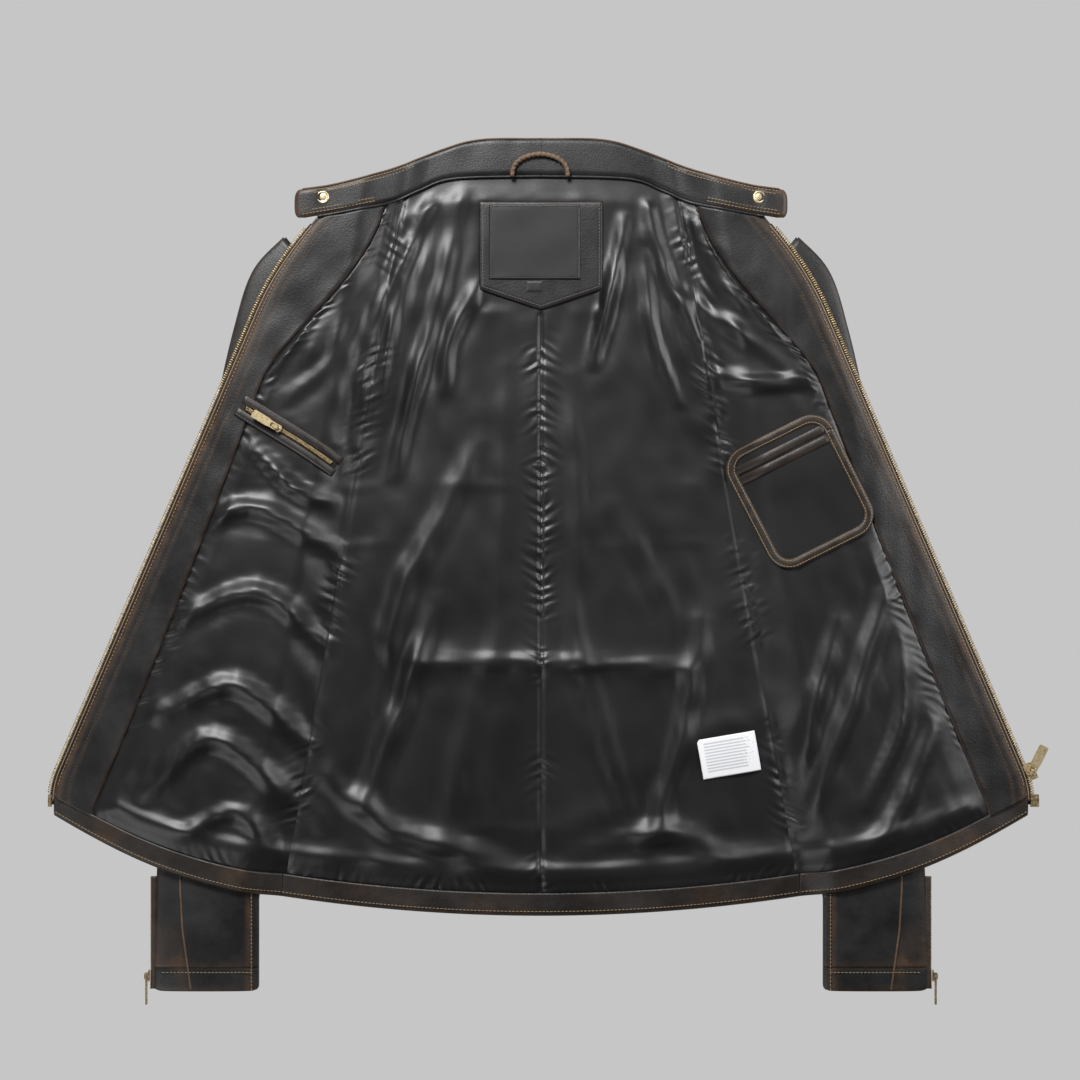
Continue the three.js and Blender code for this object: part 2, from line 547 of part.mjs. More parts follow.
// ---- cuff zips along the outer edge of each sleeve ----------------------------------------------
const CUFF_ZIP_TOP = CUFF_TOP + 84;
const cuffEdgeX = Math.max(sleeveOuterX(CUFF_END), sleeveOuterX(CUFF_TOP)) + 0.5 + GAP + 0.4;
const CUFF_TEETH_OUT = 2;
const CUFF_TEETH_WIDE = 5;
const cuffTeeth = block(
  CUFF_TEETH_OUT, CUFF_ZIP_TOP - CUFF_END - 2, CUFF_TEETH_WIDE,
  cuffEdgeX + CUFF_TEETH_OUT / 2, (CUFF_ZIP_TOP + CUFF_END + 2) / 2, SLEEVE_LEVEL,
);
const CUFF_SLIDER_Y = CUFF_END + 13;
for (const [label, side] of [["left", 1], ["right", -1]]) {
  add(`cuff_zip_${label}`, mirrored(cuffTeeth, side), ANTIQUE);
  slider(`cuff_zip_${label}`, {
    position: new THREE.Vector3(
      side * (cuffEdgeX + CUFF_TEETH_OUT + 0.35 + 1), CUFF_SLIDER_Y, SLEEVE_LEVEL,
    ),
    across: new THREE.Vector3(0, 0, -side),
    travel: new THREE.Vector3(0, 1, 0),
    out: new THREE.Vector3(side, 0, 0),
  }, { wide: 7, narrow: 5.4, thick: 1 }, 9, { length: 26, width: 5.4, eye: 3, turn: 0 });
}

// ---- zip pocket on the right front --------------------------------------------------------------
// Pieces on a front panel's lining follow its height; their own axes run along and across.
const FOLLOW = 0.5; // spare height over the faceted lining
const liningTop = (x, y) => underside(x, y) + LINING_TOP + FOLLOW;
function placed(centre, degrees) {
  const turn = THREE.MathUtils.degToRad(degrees);
  return (a, b) => [
    centre.x + a * Math.cos(turn) - b * Math.sin(turn),
    centre.y + a * Math.sin(turn) + b * Math.cos(turn),
  ];
}
const WELT_CENTRE = new THREE.Vector2(231, 125);
const WELT_TURN = 31.5;
const weltSpot = placed(WELT_CENTRE, WELT_TURN);
const WELT_THICK = 1.2;
const welt = bent(14, 3, (u, v, w) => {
  const [x, y] = weltSpot((u - 0.5) * WELT_LENGTH, (v - 0.5) * WELT_WIDTH);
  return [x, y, liningTop(x, y) + GAP + w * WELT_THICK];
});
const CHAIN_WIDTH = 5;
const CHAIN_THICK = 1.4;
const CHAIN_BASE = GAP + WELT_THICK + 0.3;
const chain = bent(16, 1, (u, v, w) => {
  const [x, y] = weltSpot((u - 0.5) * (WELT_LENGTH - 10), (v - 0.5) * CHAIN_WIDTH);
  return [x, y, liningTop(x, y) + CHAIN_BASE + w * CHAIN_THICK];
});
add("pocket_zip_welt", mirrored(welt, -1), LEATHER_BLACK);
add("pocket_zip_teeth", mirrored(chain, -1), ANTIQUE);
const POCKET_SLIDER_AT = 14; // from the welt's middle, towards the front edge
const [pocketX, pocketY] = weltSpot(POCKET_SLIDER_AT, 0);
const [pocketEndX, pocketEndY] = weltSpot(POCKET_SLIDER_AT - 50, 0);
const pocketTravel = new THREE.Vector3(pocketX - pocketEndX, pocketEndY - pocketY, 0).normalize();
slider("pocket_zip", {
  position: new THREE.Vector3(
    -pocketX, pocketY, liningTop(pocketX, pocketY) + CHAIN_BASE + CHAIN_THICK + 0.35 + 1,
  ),
  across: new THREE.Vector3(pocketTravel.y, -pocketTravel.x, 0),
  travel: pocketTravel,
  out: new THREE.Vector3(0, 0, 1),
}, { wide: 7, narrow: 5.4, thick: 1 }, 9, { length: 24, width: 7.6, eye: 3.2, turn: 0 });

// ---- patch pocket on the left front -------------------------------------------------------------
const PATCH_CENTRE = new THREE.Vector2(238, 73);
const PATCH_TURN = 26.5;
const patchSpot = placed(PATCH_CENTRE, PATCH_TURN);
const PATCH_LEAF = 1.2;
// Distance from the middle to a rounded rectangle's edge, along an angle.
function roundedReach(angle, halfWidth, halfHeight, power = 6) {
  const c = Math.abs(Math.cos(angle)) / halfWidth;
  const s = Math.abs(Math.sin(angle)) / halfHeight;
  return (c ** power + s ** power) ** (-1 / power);
}
const cornerPower = Math.max(4, 130 / POCKET_CORNER);
function pocketRing(outside, inside, low, high) {
  return tube(48, 1, (angle, v, w) => {
    const inset = lerp(inside, outside, w);
    const reach = roundedReach(
      angle, POCKET_WIDTH / 2 - inset, POCKET_DEPTH / 2 - inset, cornerPower,
    );
    const [x, y] = patchSpot(reach * Math.cos(angle), reach * Math.sin(angle));
    return [x, y, liningTop(x, y) + lerp(low, high, v)];
  });
}
// A square grid drawn onto a rounded rectangle.
const pocketPanel = bent(12, 12, (u, v, w) => {
  const [a, b] = [2 * u - 1, 2 * v - 1];
  const far = Math.max(Math.abs(a), Math.abs(b));
  const angle = Math.atan2(b * POCKET_DEPTH, a * POCKET_WIDTH);
  const inset = BINDING + GAP + 0.6;
  const reach = far * roundedReach(
    angle, POCKET_WIDTH / 2 - inset, POCKET_DEPTH / 2 - inset, cornerPower,
  );
  const [x, y] = patchSpot(reach * Math.cos(angle), reach * Math.sin(angle));
  return [x, y, liningTop(x, y) + GAP + w * PATCH_LEAF];
});
add("patch_pocket_panel", pocketPanel, SATIN);
add("patch_pocket_binding", pocketRing(0, BINDING, GAP, GAP + PATCH_LEAF + 0.8), LEATHER_WORN);
const MOUTH_HALF = POCKET_WIDTH / 2 - BINDING - 8;
const MOUTH_AT = POCKET_DEPTH / 2 - BINDING - 13;
const WELT_BAND = 7;
[["upper", WELT_BAND / 2 + 1], ["lower", -WELT_BAND / 2 - 1]].forEach(([label, shift]) => {
  add(`patch_pocket_welt_${label}`, bent(10, 1, (u, v, w) => {
    const [x, y] = patchSpot(lerp(-MOUTH_HALF, MOUTH_HALF, u), MOUTH_AT + shift + (v - 0.5) * WELT_BAND);
    return [x, y, liningTop(x, y) + GAP + PATCH_LEAF + 0.5 + w * 1.2];
  }), LEATHER_BLACK);
});

// ---- stand it on the table, centred -------------------------------------------------------------
group.updateMatrixWorld(true);
const extent = new THREE.Box3().setFromObject(group, true);
group.position.set(
  -(extent.min.x + extent.max.x) / 2,
  -(extent.min.y + extent.max.y) / 2,
  -extent.min.z,
);
group.updateMatrixWorld(true);

export default group;
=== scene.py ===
"""A leather riding jacket lying open on its back, its satin lining showing.

Lengths are in millimetres on the jacket's own pattern and become metres in the frame when a mesh
is made. +X runs across the jacket, +Y to the collar, +Z up. side is +1 for the jacket's left front
(+X) and -1 for its right. Shapes are numpy grids with rows along +Y and columns along +X.
"""
import math

import bmesh
import bpy
import numpy as np
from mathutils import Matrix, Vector


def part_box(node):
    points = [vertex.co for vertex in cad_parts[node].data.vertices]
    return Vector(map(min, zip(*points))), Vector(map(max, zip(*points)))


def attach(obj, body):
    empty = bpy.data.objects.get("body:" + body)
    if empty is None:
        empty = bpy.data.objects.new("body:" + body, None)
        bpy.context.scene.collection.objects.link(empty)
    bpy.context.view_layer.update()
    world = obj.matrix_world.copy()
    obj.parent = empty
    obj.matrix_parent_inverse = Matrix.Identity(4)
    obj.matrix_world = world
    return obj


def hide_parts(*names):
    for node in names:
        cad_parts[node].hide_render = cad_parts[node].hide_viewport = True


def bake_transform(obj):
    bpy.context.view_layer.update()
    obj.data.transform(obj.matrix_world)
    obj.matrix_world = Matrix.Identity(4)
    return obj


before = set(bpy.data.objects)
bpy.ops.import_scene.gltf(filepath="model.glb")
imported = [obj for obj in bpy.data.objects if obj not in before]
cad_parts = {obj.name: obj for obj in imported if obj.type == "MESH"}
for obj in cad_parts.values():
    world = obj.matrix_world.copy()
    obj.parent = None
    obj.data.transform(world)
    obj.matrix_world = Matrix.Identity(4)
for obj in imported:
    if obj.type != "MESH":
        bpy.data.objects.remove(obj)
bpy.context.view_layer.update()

# ---- the pattern, as the frame has it --------------------------------------------------
MM = 0.001
LEATHER = 1.5
NECK_Y = 366
COLLAR_WIDTH = 34
HEM_Y = -319
HEM_RISE = 0.000318
HEM_FACING = 18
FOLD_TOP = (126, 345)
FOLD_BOTTOM = (239, -302)
ZIP_LOW = (450, -183)
ZIP_HIGH = (266, 240)
CORNER_Y = -222
FRONT_TOP_Y = 325
ARMPIT_Y = 203
SHOULDER = (225, 300)
HUMP = 16.2
HUMP_RUN = 40
LIFT = 0.3
YOKE_LIFT = 2.15
EDGE_LOW = 3
EDGE_HIGH = 16
CUFF_TOP = -366
CUFF_END = -387
SLEEVE_LEVEL = 7.5
LINING_LEVEL = 5.0  # mean height of the satin over the leather's underside
FACING_TOP = 5.7
TEETH_WIDTH = 4.4

shell_low, shell_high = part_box("back_shell")
SHIFT = np.array([(shell_low[0] + shell_high[0]) / 2, shell_low[1] - HEM_Y * MM, shell_low[2]])
ROOT = "jacket_back"
FRONTS = {1: "front_left", -1: "front_right"}
LABELS = {1: "left", -1: "right"}


def to_frame(x, y, z):
    """Pattern millimetres to a point of the frame, in metres."""
    return tuple(float(c) for c in np.array([x, y, z]) * MM + SHIFT)


# ---- camera and light ------------------------------------------------------------------
PHOTO_WIDTH = 993.6  # width of the view at the jacket
VIEW_CENTRE = (-0.9, 28.5)
LENS = 85
SENSOR = 36


def camera_and_light():
    data = bpy.data.cameras.new("camera")
    data.lens = LENS
    data.sensor_width = SENSOR
    camera = bpy.data.objects.new("camera", data)
    bpy.context.collection.objects.link(camera)
    height = PHOTO_WIDTH * LENS / SENSOR
    camera.location = to_frame(*VIEW_CENTRE, height + 15)
    bpy.context.scene.camera = camera
    for name, place, power, size in (
        ("key", (-0.5, 1.3, 1.35), 44, 0.62),
        ("side", (1.4, 0.5, 0.95), 15, 0.8),
        ("front", (-1.2, -1.1, 1.0), 7, 0.9),
    ):
        light = bpy.data.lights.new(name, "AREA")
        light.energy = power
        light.size = size
        lamp = bpy.data.objects.new(name, light)
        lamp.location = place
        lamp.rotation_euler = (Vector((0, 0.02, 0)) - Vector(place)).to_track_quat("-Z", "Y").to_euler()
        bpy.context.collection.objects.link(lamp)
    world = bpy.data.worlds.new("world")
    world.use_nodes = True
    world.node_tree.nodes["Background"].inputs["Color"].default_value = (0.9, 0.92, 0.95, 1)
    world.node_tree.nodes["Background"].inputs["Strength"].default_value = 0.07
    bpy.context.scene.world = world
    bpy.context.scene.view_settings.view_transform = "Standard"


camera_and_light()


# ---- shader maths ----------------------------------------------------------------------
class Value:
    """A shader socket. An expression on values adds the Math nodes that work it out."""

    def __init__(self, shader, socket):
        self.shader = shader
        self.socket = socket

    def _math(self, operation, *others):
        return self.shader.node("ShaderNodeMath", {"operation": operation}, [self, *others])

    def __add__(self, other):
        return self._math("ADD", other)

    def __radd__(self, other):
        return self._math("ADD", other)

    def __sub__(self, other):
        return self._math("SUBTRACT", other)

    def __rsub__(self, other):
        return self.shader.node("ShaderNodeMath", {"operation": "SUBTRACT"}, [other, self])

    def __mul__(self, other):
        return self._math("MULTIPLY", other)

    def __rmul__(self, other):
        return self._math("MULTIPLY", other)

    def __truediv__(self, other):
        return self._math("DIVIDE", other)

    def __pow__(self, other):
        return self._math("POWER", other)

    def less(self, other):
        return self._math("LESS_THAN", other)

    def more(self, other):
        return self._math("GREATER_THAN", other)

    def fract(self):
        return self._math("FRACT")

    def clamp(self):
        return self.shader.node("ShaderNodeClamp", {}, {"Value": self})

    def between(self, low, high):
        """0 at low, 1 at high, and straight between them."""
        settings = {"clamp": True}
        inputs = {"Value": self, "From Min": low, "From Max": high}
        return self.shader.node("ShaderNodeMapRange", settings, inputs)


class Shader:
    """A material under construction."""

    def __init__(self, name):
        self.material = bpy.data.materials.new(name)
        self.material.use_nodes = True
        self.tree = self.material.node_tree
        self.principled = self.tree.nodes["Principled BSDF"]

    def node(self, kind, settings, inputs, output=0):
        """Any node: its settings first, then the values or links of its sockets."""
        made = self.tree.nodes.new(kind)
        for key, value in settings.items():
            setattr(made, key, value)
        pairs = inputs.items() if isinstance(inputs, dict) else enumerate(inputs)
        for key, value in pairs:
            if isinstance(value, Value):
                self.tree.links.new(value.socket, made.inputs[key])
            else:
                made.inputs[key].default_value = value
        return Value(self, made.outputs[output])

    def coordinates(self, output="Object"):
        return self.node("ShaderNodeTexCoord", {}, {}, output)

    def attribute(self, name):
        return self.node("ShaderNodeAttribute", {"attribute_name": name}, {}, "Fac")

    def noise(self, scale, detail=3, rough=0.55, vector=None):
        inputs = {"Scale": scale, "Detail": detail, "Roughness": rough}
        inputs["Vector"] = vector or self.coordinates()
        return self.node("ShaderNodeTexNoise", {}, inputs, "Fac")

    def cells(self, scale, vector=None, feature="F1"):
        inputs = {"Scale": scale, "Vector": vector or self.coordinates()}
        return self.node("ShaderNodeTexVoronoi", {"feature": feature}, inputs, "Distance")

    def mix(self, share, low, high):
        """Between two colours."""
        inputs = {"Factor": share, 6: low, 7: high}
        made = self.tree.nodes.new("ShaderNodeMix")
        made.data_type = "RGBA"
        for key, value in inputs.items():
            if isinstance(value, Value):
                self.tree.links.new(value.socket, made.inputs[key])
            else:
                made.inputs[key].default_value = value
        return Value(self, made.outputs[2])

    def bump(self, height, distance, strength=1.0):
        inputs = {"Height": height, "Distance": distance, "Strength": strength}
        return self.node("ShaderNodeBump", {}, inputs)

    def finish(self, **sockets):
        """Sets the shader's own sockets, named with _ for a space."""
        for key, value in sockets.items():
            socket = self.principled.inputs[key.replace("_", " ")]
            if isinstance(value, Value):
                self.tree.links.new(value.socket, socket)
            else:
                socket.default_value = value
        return self.material


def leather(name, dark, light, brown, base_wear=0.0, rough=0.44):
    """Grained hide: small cells in soft creases, cloudy between two tones whose lighter patches are partly
    painted sheen, brown where it is worn.
    """
    s = Shader(name)
    pebbles = s.cells(620)
    fine = s.cells(1500)
    creases = s.noise(70, 5, 0.6)
    cloudy = s.noise(16, 4, 0.6)
    grain = pebbles * 0.6 + fine * 0.25 + creases * 0.5
    patches = s.noise(95, 4, 0.7).between(0.34, 0.7)
    wear = (s.attribute("wear") + base_wear).clamp()
    worn = (wear * (patches * 0.8 + 0.35)).clamp()
    # The lighter tone is partly painted sheen, pale grey patches that stand for light glancing off the hide,
    # and partly uneven tone.
    body = s.mix(cloudy.between(0.4, 0.72), dark, light)
    colour = s.mix(worn, body, brown)
    return s.finish(
        Base_Color=colour,
        Roughness=(creases * 0.16 + (rough - 0.08) + worn * 0.1).clamp(),
        Normal=s.bump(grain, 0.0005, 0.34),
        Specular_IOR_Level=0.5,
    )


def satin(name, dark, light, rough=0.34):
    """Fine twill with a soft lustre and small slubs."""
    s = Shader(name)
    where = s.coordinates()
    cloudy = s.noise(9, 3, 0.5)
    threads = s.node(
        "ShaderNodeTexWave",
        {"wave_type": "BANDS", "bands_direction": "DIAGONAL"},
        {"Vector": where, "Scale": 620, "Distortion": 0.6},
        "Fac",
    )
    slubs = s.noise(240, 2, 0.5)
    return s.finish(
        Base_Color=s.mix(cloudy.between(0.3, 0.7), dark, light),
        Roughness=(cloudy * 0.1 + (rough - 0.05)).clamp(),
        Normal=s.bump(threads * 0.35 + slubs * 0.65, 0.00018, 0.35),
        Specular_IOR_Level=0.62,
    )


def brass(name, dark, light, rough):
    """Metal with darker tarnish in cloudy patches and fine wear."""
    s = Shader(name)
    tarnish = s.noise(420, 4, 0.6).between(0.35, 0.68)
    fine = s.noise(2400, 2, 0.5)
    return s.finish(
        Base_Color=s.mix(tarnish, dark, light),
        Metallic=0.75,
        Roughness=(fine * 0.18 + (rough - 0.06)).clamp(),
        Normal=s.bump(fine, 0.00006, 0.4),
    )


def woven(name, dark, light, scale=900):
    s = Shader(name)
    weave = s.node(
        "ShaderNodeTexWave", {"wave_type": "BANDS"}, {"Vector": s.coordinates(), "Scale": scale}, "Fac",
    )
    return s.finish(
        Base_Color=s.mix(weave, dark, light), Roughness=0.85, Normal=s.bump(weave, 0.0002, 0.5),
    )


def thread(name, colour):
    s = Shader(name)
    fibre = s.noise(3000, 2, 0.5)
    dim = tuple(c * 0.55 for c in colour[:3]) + (1,)
    return s.finish(Base_Color=s.mix(fibre, dim, colour), Roughness=0.7, Normal=s.bump(fibre, 0.0001))


def care_cloth():
    """White tape with faint grey bars that stand for care instructions."""
    s = Shader("care_cloth")
    u = s.node("ShaderNodeSeparateXYZ", {}, {"Vector": s.coordinates("UV")}, "X")
    v = s.node("ShaderNodeSeparateXYZ", {}, {"Vector": s.coordinates("UV")}, "Y")
    rows = (v * 13).fract().less(0.5)
    ragged = s.noise(26, 0, 0.5, s.coordinates("UV"))
    inside = u.more(0.1) * u.less(0.62 + ragged * 0.4) * v.more(0.12) * v.less(0.9)
    weave = s.noise(1500, 2, 0.5)
    bars = rows * inside * (0.35 + s.noise(90, 1, 0.5, s.coordinates("UV")) * 0.5)
    return s.finish(
        Base_Color=s.mix(bars, (0.86, 0.86, 0.88, 1), (0.36, 0.37, 0.4, 1)),
        Roughness=0.7,
        Normal=s.bump(weave, 0.0002, 0.4),
    )


BROWN = (0.085, 0.045, 0.022, 1)
# The lighter of each leather's two tones gives its lighter patches, partly painted sheen and partly uneven
# tone.
LEATHER_BLACK = leather("leather_black", (0.0045, 0.0045, 0.0048, 1), (0.026, 0.0255, 0.0255, 1), BROWN)
PIPING = leather("piping_brown", (0.10, 0.06, 0.035, 1), (0.20, 0.135, 0.085, 1), BROWN, 0.1, 0.5)
SATIN = satin("satin_black", (0.004, 0.0038, 0.0042, 1), (0.012, 0.0113, 0.0122, 1), 0.4)
LABEL_SATIN = satin("label_satin", (0.008, 0.008, 0.009, 1), (0.014, 0.014, 0.0155, 1), 0.42)
AGED_BRASS = brass("aged_brass", (0.16, 0.11, 0.05, 1), (0.62, 0.47, 0.26, 1), 0.42)
BRIGHT_BRASS = brass("bright_brass", (0.60, 0.44, 0.22, 1), (0.92, 0.78, 0.52, 1), 0.36)
TAPE = woven("zip_tape_black", (0.008, 0.008, 0.009, 1), (0.02, 0.02, 0.021, 1))
THREAD_TAN = thread("thread_tan", (0.30, 0.22, 0.13, 1))
THREAD_BLACK = thread("thread_black", (0.05, 0.048, 0.05, 1))
CARE_CLOTH = care_cloth()


def plain(name, colour, rough):
    return Shader(name).finish(Base_Color=colour, Roughness=rough)


THREAD_GREY = thread("thread_grey", (0.12, 0.115, 0.115, 1))
LOOP_CORD = leather("loop_cord", (0.09, 0.055, 0.032, 1), (0.19, 0.13, 0.085, 1), BROWN, 0.1, 0.5)
FLOOR = plain("backdrop", (0, 0, 0, 1), 1.0)
FLOOR.node_tree.nodes["Principled BSDF"].inputs["Emission Color"].default_value = (0.565, 0.565, 0.565, 1)
FLOOR.node_tree.nodes["Principled BSDF"].inputs["Emission Strength"].default_value = 1.0
FLOOR.node_tree.nodes["Principled BSDF"].inputs["Specular IOR Level"].default_value = 0.0
LIGHT_PIPING = plain("light_piping", (0.24, 0.165, 0.11, 1), 0.6)


# ---- lines and levels of the pattern ---------------------------------------------------
def through(points, per_span=24):
    """Samples of a smooth curve through the points: on each span, the cubic whose slope at a point
    is half the difference of that point's neighbours. Works in any number of dimensions."""
    p = np.array(points, float)
    padded = np.vstack([2 * p[0] - p[1], p, 2 * p[-1] - p[-2]])
    t = np.linspace(0, 1, per_span, endpoint=False)[None, :, None]
    a, b, c, d = (padded[i:len(p) - 1 + i][:, None, :] for i in range(4))
    spans = 0.5 * (2 * b + (c - a) * t + (2 * a - 5 * b + 4 * c - d) * t**2
                   + (3 * b - a - 3 * c + d) * t**3)
    return np.vstack([spans.reshape(-1, p.shape[1]), p[-1:]])


def smooth(t):
    t = np.clip(t, 0, 1)
    return t * t * (3 - 2 * t)


def mixed(a, b, t):
    return a + (b - a) * t


def fold_x(y):
    slope = (FOLD_BOTTOM[0] - FOLD_TOP[0]) / (FOLD_BOTTOM[1] - FOLD_TOP[1])
    return FOLD_TOP[0] + (y - FOLD_TOP[1]) * slope


FOLD_LENGTH = math.dist(FOLD_TOP, FOLD_BOTTOM)
FOLD_OUT = ((FOLD_TOP[1] - FOLD_BOTTOM[1]) / FOLD_LENGTH, (FOLD_BOTTOM[0] - FOLD_TOP[0]) / FOLD_LENGTH)


def from_fold(x, y):
    return (x - fold_x(y)) * FOLD_OUT[0]


def hem_y(x):
    return HEM_Y + HEM_RISE * x * x


def front_edge_x(y):
    straight = ZIP_LOW[0] + (y - ZIP_LOW[1]) * (ZIP_HIGH[0] - ZIP_LOW[0]) / (ZIP_HIGH[1] - ZIP_LOW[1])
    above = np.maximum(0, y - ZIP_HIGH[1])
    below = np.maximum(0, ZIP_LOW[1] - y)
    return straight - 0.00277 * above**2 - 0.0072 * below**2


NECK = through([
    (0, NECK_Y), (60, NECK_Y - 1), (90, NECK_Y - 4), (112, NECK_Y - 13), (139, NECK_Y - 25),
    (172, NECK_Y - 33), (216, FRONT_TOP_Y), (240, FRONT_TOP_Y - 4),
])
COLLAR = through([
    (0, NECK_Y + COLLAR_WIDTH), (56, NECK_Y + COLLAR_WIDTH - 1), (93, NECK_Y + COLLAR_WIDTH - 11),
    (148, NECK_Y + 1), (192, NECK_Y - 11), (226, NECK_Y - 16), (240, NECK_Y - 18),
])
SLEEVE_OUT = through([
    (CUFF_END - 13, 358), (CUFF_TOP + 76, 355), (-180, 348), (-60, 335), (50, 318), (150, 300),
    (222, 284), (277, 266), (SHOULDER[1] + 12, SHOULDER[0] + 9),
])
SLEEVE_CLEAR = 21


def neck_line(x):
    return np.interp(np.abs(x), NECK[:, 0], NECK[:, 1])


def collar_line(x):
    return np.interp(np.abs(x), COLLAR[:, 0], COLLAR[:, 1])


def sleeve_outer_x(y):
    return np.interp(y, SLEEVE_OUT[:, 0], SLEEVE_OUT[:, 1])


def sleeve_inner_x(y):
    return fold_x(np.maximum(y, FOLD_BOTTOM[1])) + SLEEVE_CLEAR


def underside(x, y):
    """Height of the leather's underside: near the table inside the fold line, over the sleeve
    beyond it, and down again to the front edge."""
    x = np.abs(x)
    signed = from_fold(x, y)
    beyond = np.maximum(0, signed)
    yoke = YOKE_LIFT * smooth((y - ARMPIT_Y + 85) / 50)
    over = LIFT + yoke * smooth(signed / 18 + 1) + (HUMP - yoke) * smooth(beyond / HUMP_RUN)
    y_edge = np.clip(y, CORNER_Y, FRONT_TOP_Y)
    share = (y_edge - ZIP_LOW[1]) / (ZIP_HIGH[1] - ZIP_LOW[1])
    edge = np.minimum(mixed(EDGE_LOW, EDGE_HIGH, share), EDGE_HIGH + 2)
    edge_x = front_edge_x(y_edge)
    start = np.minimum(sleeve_outer_x(np.minimum(y, SHOULDER[1])) - 18, edge_x - 14)
    return mixed(over, edge, smooth((x - start) / np.maximum(14, edge_x - start)))


def front_spot(s, t):
    """Where a point of a front panel lies: s from the fold to the front edge, t from hem to neck."""
    y_edge = mixed(CORNER_Y, FRONT_TOP_Y, t)
    inner_y = mixed(hem_y(FOLD_BOTTOM[0]), neck_line(FOLD_TOP[0]), t)
    inner = fold_x(inner_y)
    bow = -13 * 4 * s * (1 - s) * (1 - t) ** 3
    neck_x = mixed(FOLD_TOP[0], front_edge_x(FRONT_TOP_Y), s)
    sag = (neck_line(neck_x) - mixed(neck_line(FOLD_TOP[0]), FRONT_TOP_Y, s)) * t**6
    return mixed(inner, front_edge_x(y_edge), s), mixed(inner_y, y_edge, s) + bow + sag


def back_spot(c, t):
    """Where a point of the back lies: c from -1 at the right fold to 1 at the left, t hem to neck."""
    low = hem_y(np.abs(c) * FOLD_BOTTOM[0])
    high = neck_line(np.abs(c) * FOLD_TOP[0])
    y = mixed(low, high, t)
    return c * fold_x(mixed(hem_y(FOLD_BOTTOM[0]), neck_line(FOLD_TOP[0]), t)), y


def facing_start(t):
    """The facing's inner edge, as a share of the way from the fold to the front edge."""
    return mixed(0.72, 0.2, smooth((t - 0.72) / 0.26)) + 0.09 * (1 - t) ** 2


# ---- meshes ----------------------------------------------------------------------------
def mesh_piece(name, points, faces, material, uv=None, wear=None, smooth_shading=True):
    """An object at the origin from pattern points in millimetres."""
    mesh = bpy.data.meshes.new(name)
    mesh.from_pydata((points * MM + SHIFT).tolist(), [], faces.tolist())
    mesh.polygons.foreach_set("use_smooth", np.full(len(faces), smooth_shading))
    if uv is not None:
        layer = mesh.uv_layers.new(name="UVMap")
        loops = np.empty(len(mesh.loops), np.int32)
        mesh.loops.foreach_get("vertex_index", loops)
        layer.data.foreach_set("uv", uv[loops].astype(np.float32).ravel())
    attribute = mesh.attributes.new("wear", "FLOAT", "POINT")
    values = np.zeros(len(points)) if wear is None else wear
    attribute.data.foreach_set("value", values.astype(np.float32).ravel())
    mesh.update()
    piece = bpy.data.objects.new(name, mesh)
    bpy.context.collection.objects.link(piece)
    mesh.materials.append(material)
    return piece


def grid_faces(rows, columns, wrap=False):
    """Quads of a grid, row by row; wrap joins the last column to the first."""
    i, j = np.meshgrid(np.arange(rows - 1), np.arange(columns if wrap else columns - 1), indexing="ij")
    k = (j + 1) % columns
    quads = [i * columns + j, i * columns + k, (i + 1) * columns + k, (i + 1) * columns + j]
    return np.stack(quads, -1).reshape(-1, 4)


def sheet_piece(name, x, y, z, material, thick=0.0, wear=None, side=1):
    """A cloth or leather sheet whose top is the grid. side -1 mirrors it across the jacket."""
    if side < 0:
        x, y, z = -x[:, ::-1], y[:, ::-1], z[:, ::-1]
        wear = None if wear is None else wear[:, ::-1]
    rows, columns = x.shape
    v, u = np.meshgrid(np.linspace(0, 1, rows), np.linspace(0, 1, columns), indexing="ij")
    points = np.stack([x, y, z], -1).reshape(-1, 3)
    piece = mesh_piece(
        name, points, grid_faces(rows, columns), material,
        uv=np.stack([u, v], -1).reshape(-1, 2), wear=wear,
    )
    if thick:
        solidify = piece.modifiers.new("thickness", "SOLIDIFY")
        solidify.thickness = thick * MM
        solidify.offset = -1
    return piece


def orient(piece):
    """Turns a closed mesh's faces outwards."""
    work = bmesh.new()
    work.from_mesh(piece.data)
    bmesh.ops.remove_doubles(work, verts=work.verts, dist=1e-6)
    bmesh.ops.recalc_face_normals(work, faces=work.faces)
    work.to_mesh(piece.data)
    work.free()
    return piece


def tube_piece(name, path, radius, material, around=8, wear=None, squash=1.0, twist=0.0):
    """A round bar along a path of points: at each point a circle of the given radius stands across
    the path, and both ends close to a point. squash flattens it in height; twist adds two grooves
    that turn once in that many millimetres."""
    path = np.array(path, float)
    along = np.gradient(path, axis=0)
    along /= np.linalg.norm(along, axis=1)[:, None]
    across = np.cross(along, [0, 0, 1.0])
    across /= np.linalg.norm(across, axis=1)[:, None]
    upward = np.cross(across, along)
    angle = np.linspace(0, 2 * np.pi, around, endpoint=False)
    radii = np.broadcast_to(np.asarray(radius, float), (len(path),))[:, None] * np.ones(around)
    if twist:
        travelled = np.r_[0, np.cumsum(np.linalg.norm(np.diff(path, axis=0), axis=1))][:, None]
        radii = radii * (1 + 0.16 * np.cos(2 * (angle[None, :] + 2 * np.pi * travelled / twist)))
    ring = (path[:, None, :] + across[:, None, :] * (radii * np.cos(angle))[..., None]
            + upward[:, None, :] * (squash * radii * np.sin(angle))[..., None])
    ends = [np.repeat(path[i][None, None, :], around, 1) for i in (0, -1)]
    ring = np.concatenate([ends[0], ring, ends[1]], 0)
    faces = grid_faces(len(ring), around, wrap=True)
    values = None if wear is None else np.full(ring.shape[0] * around, wear)
    return orient(mesh_piece(name, ring.reshape(-1, 3), faces, material, wear=values))


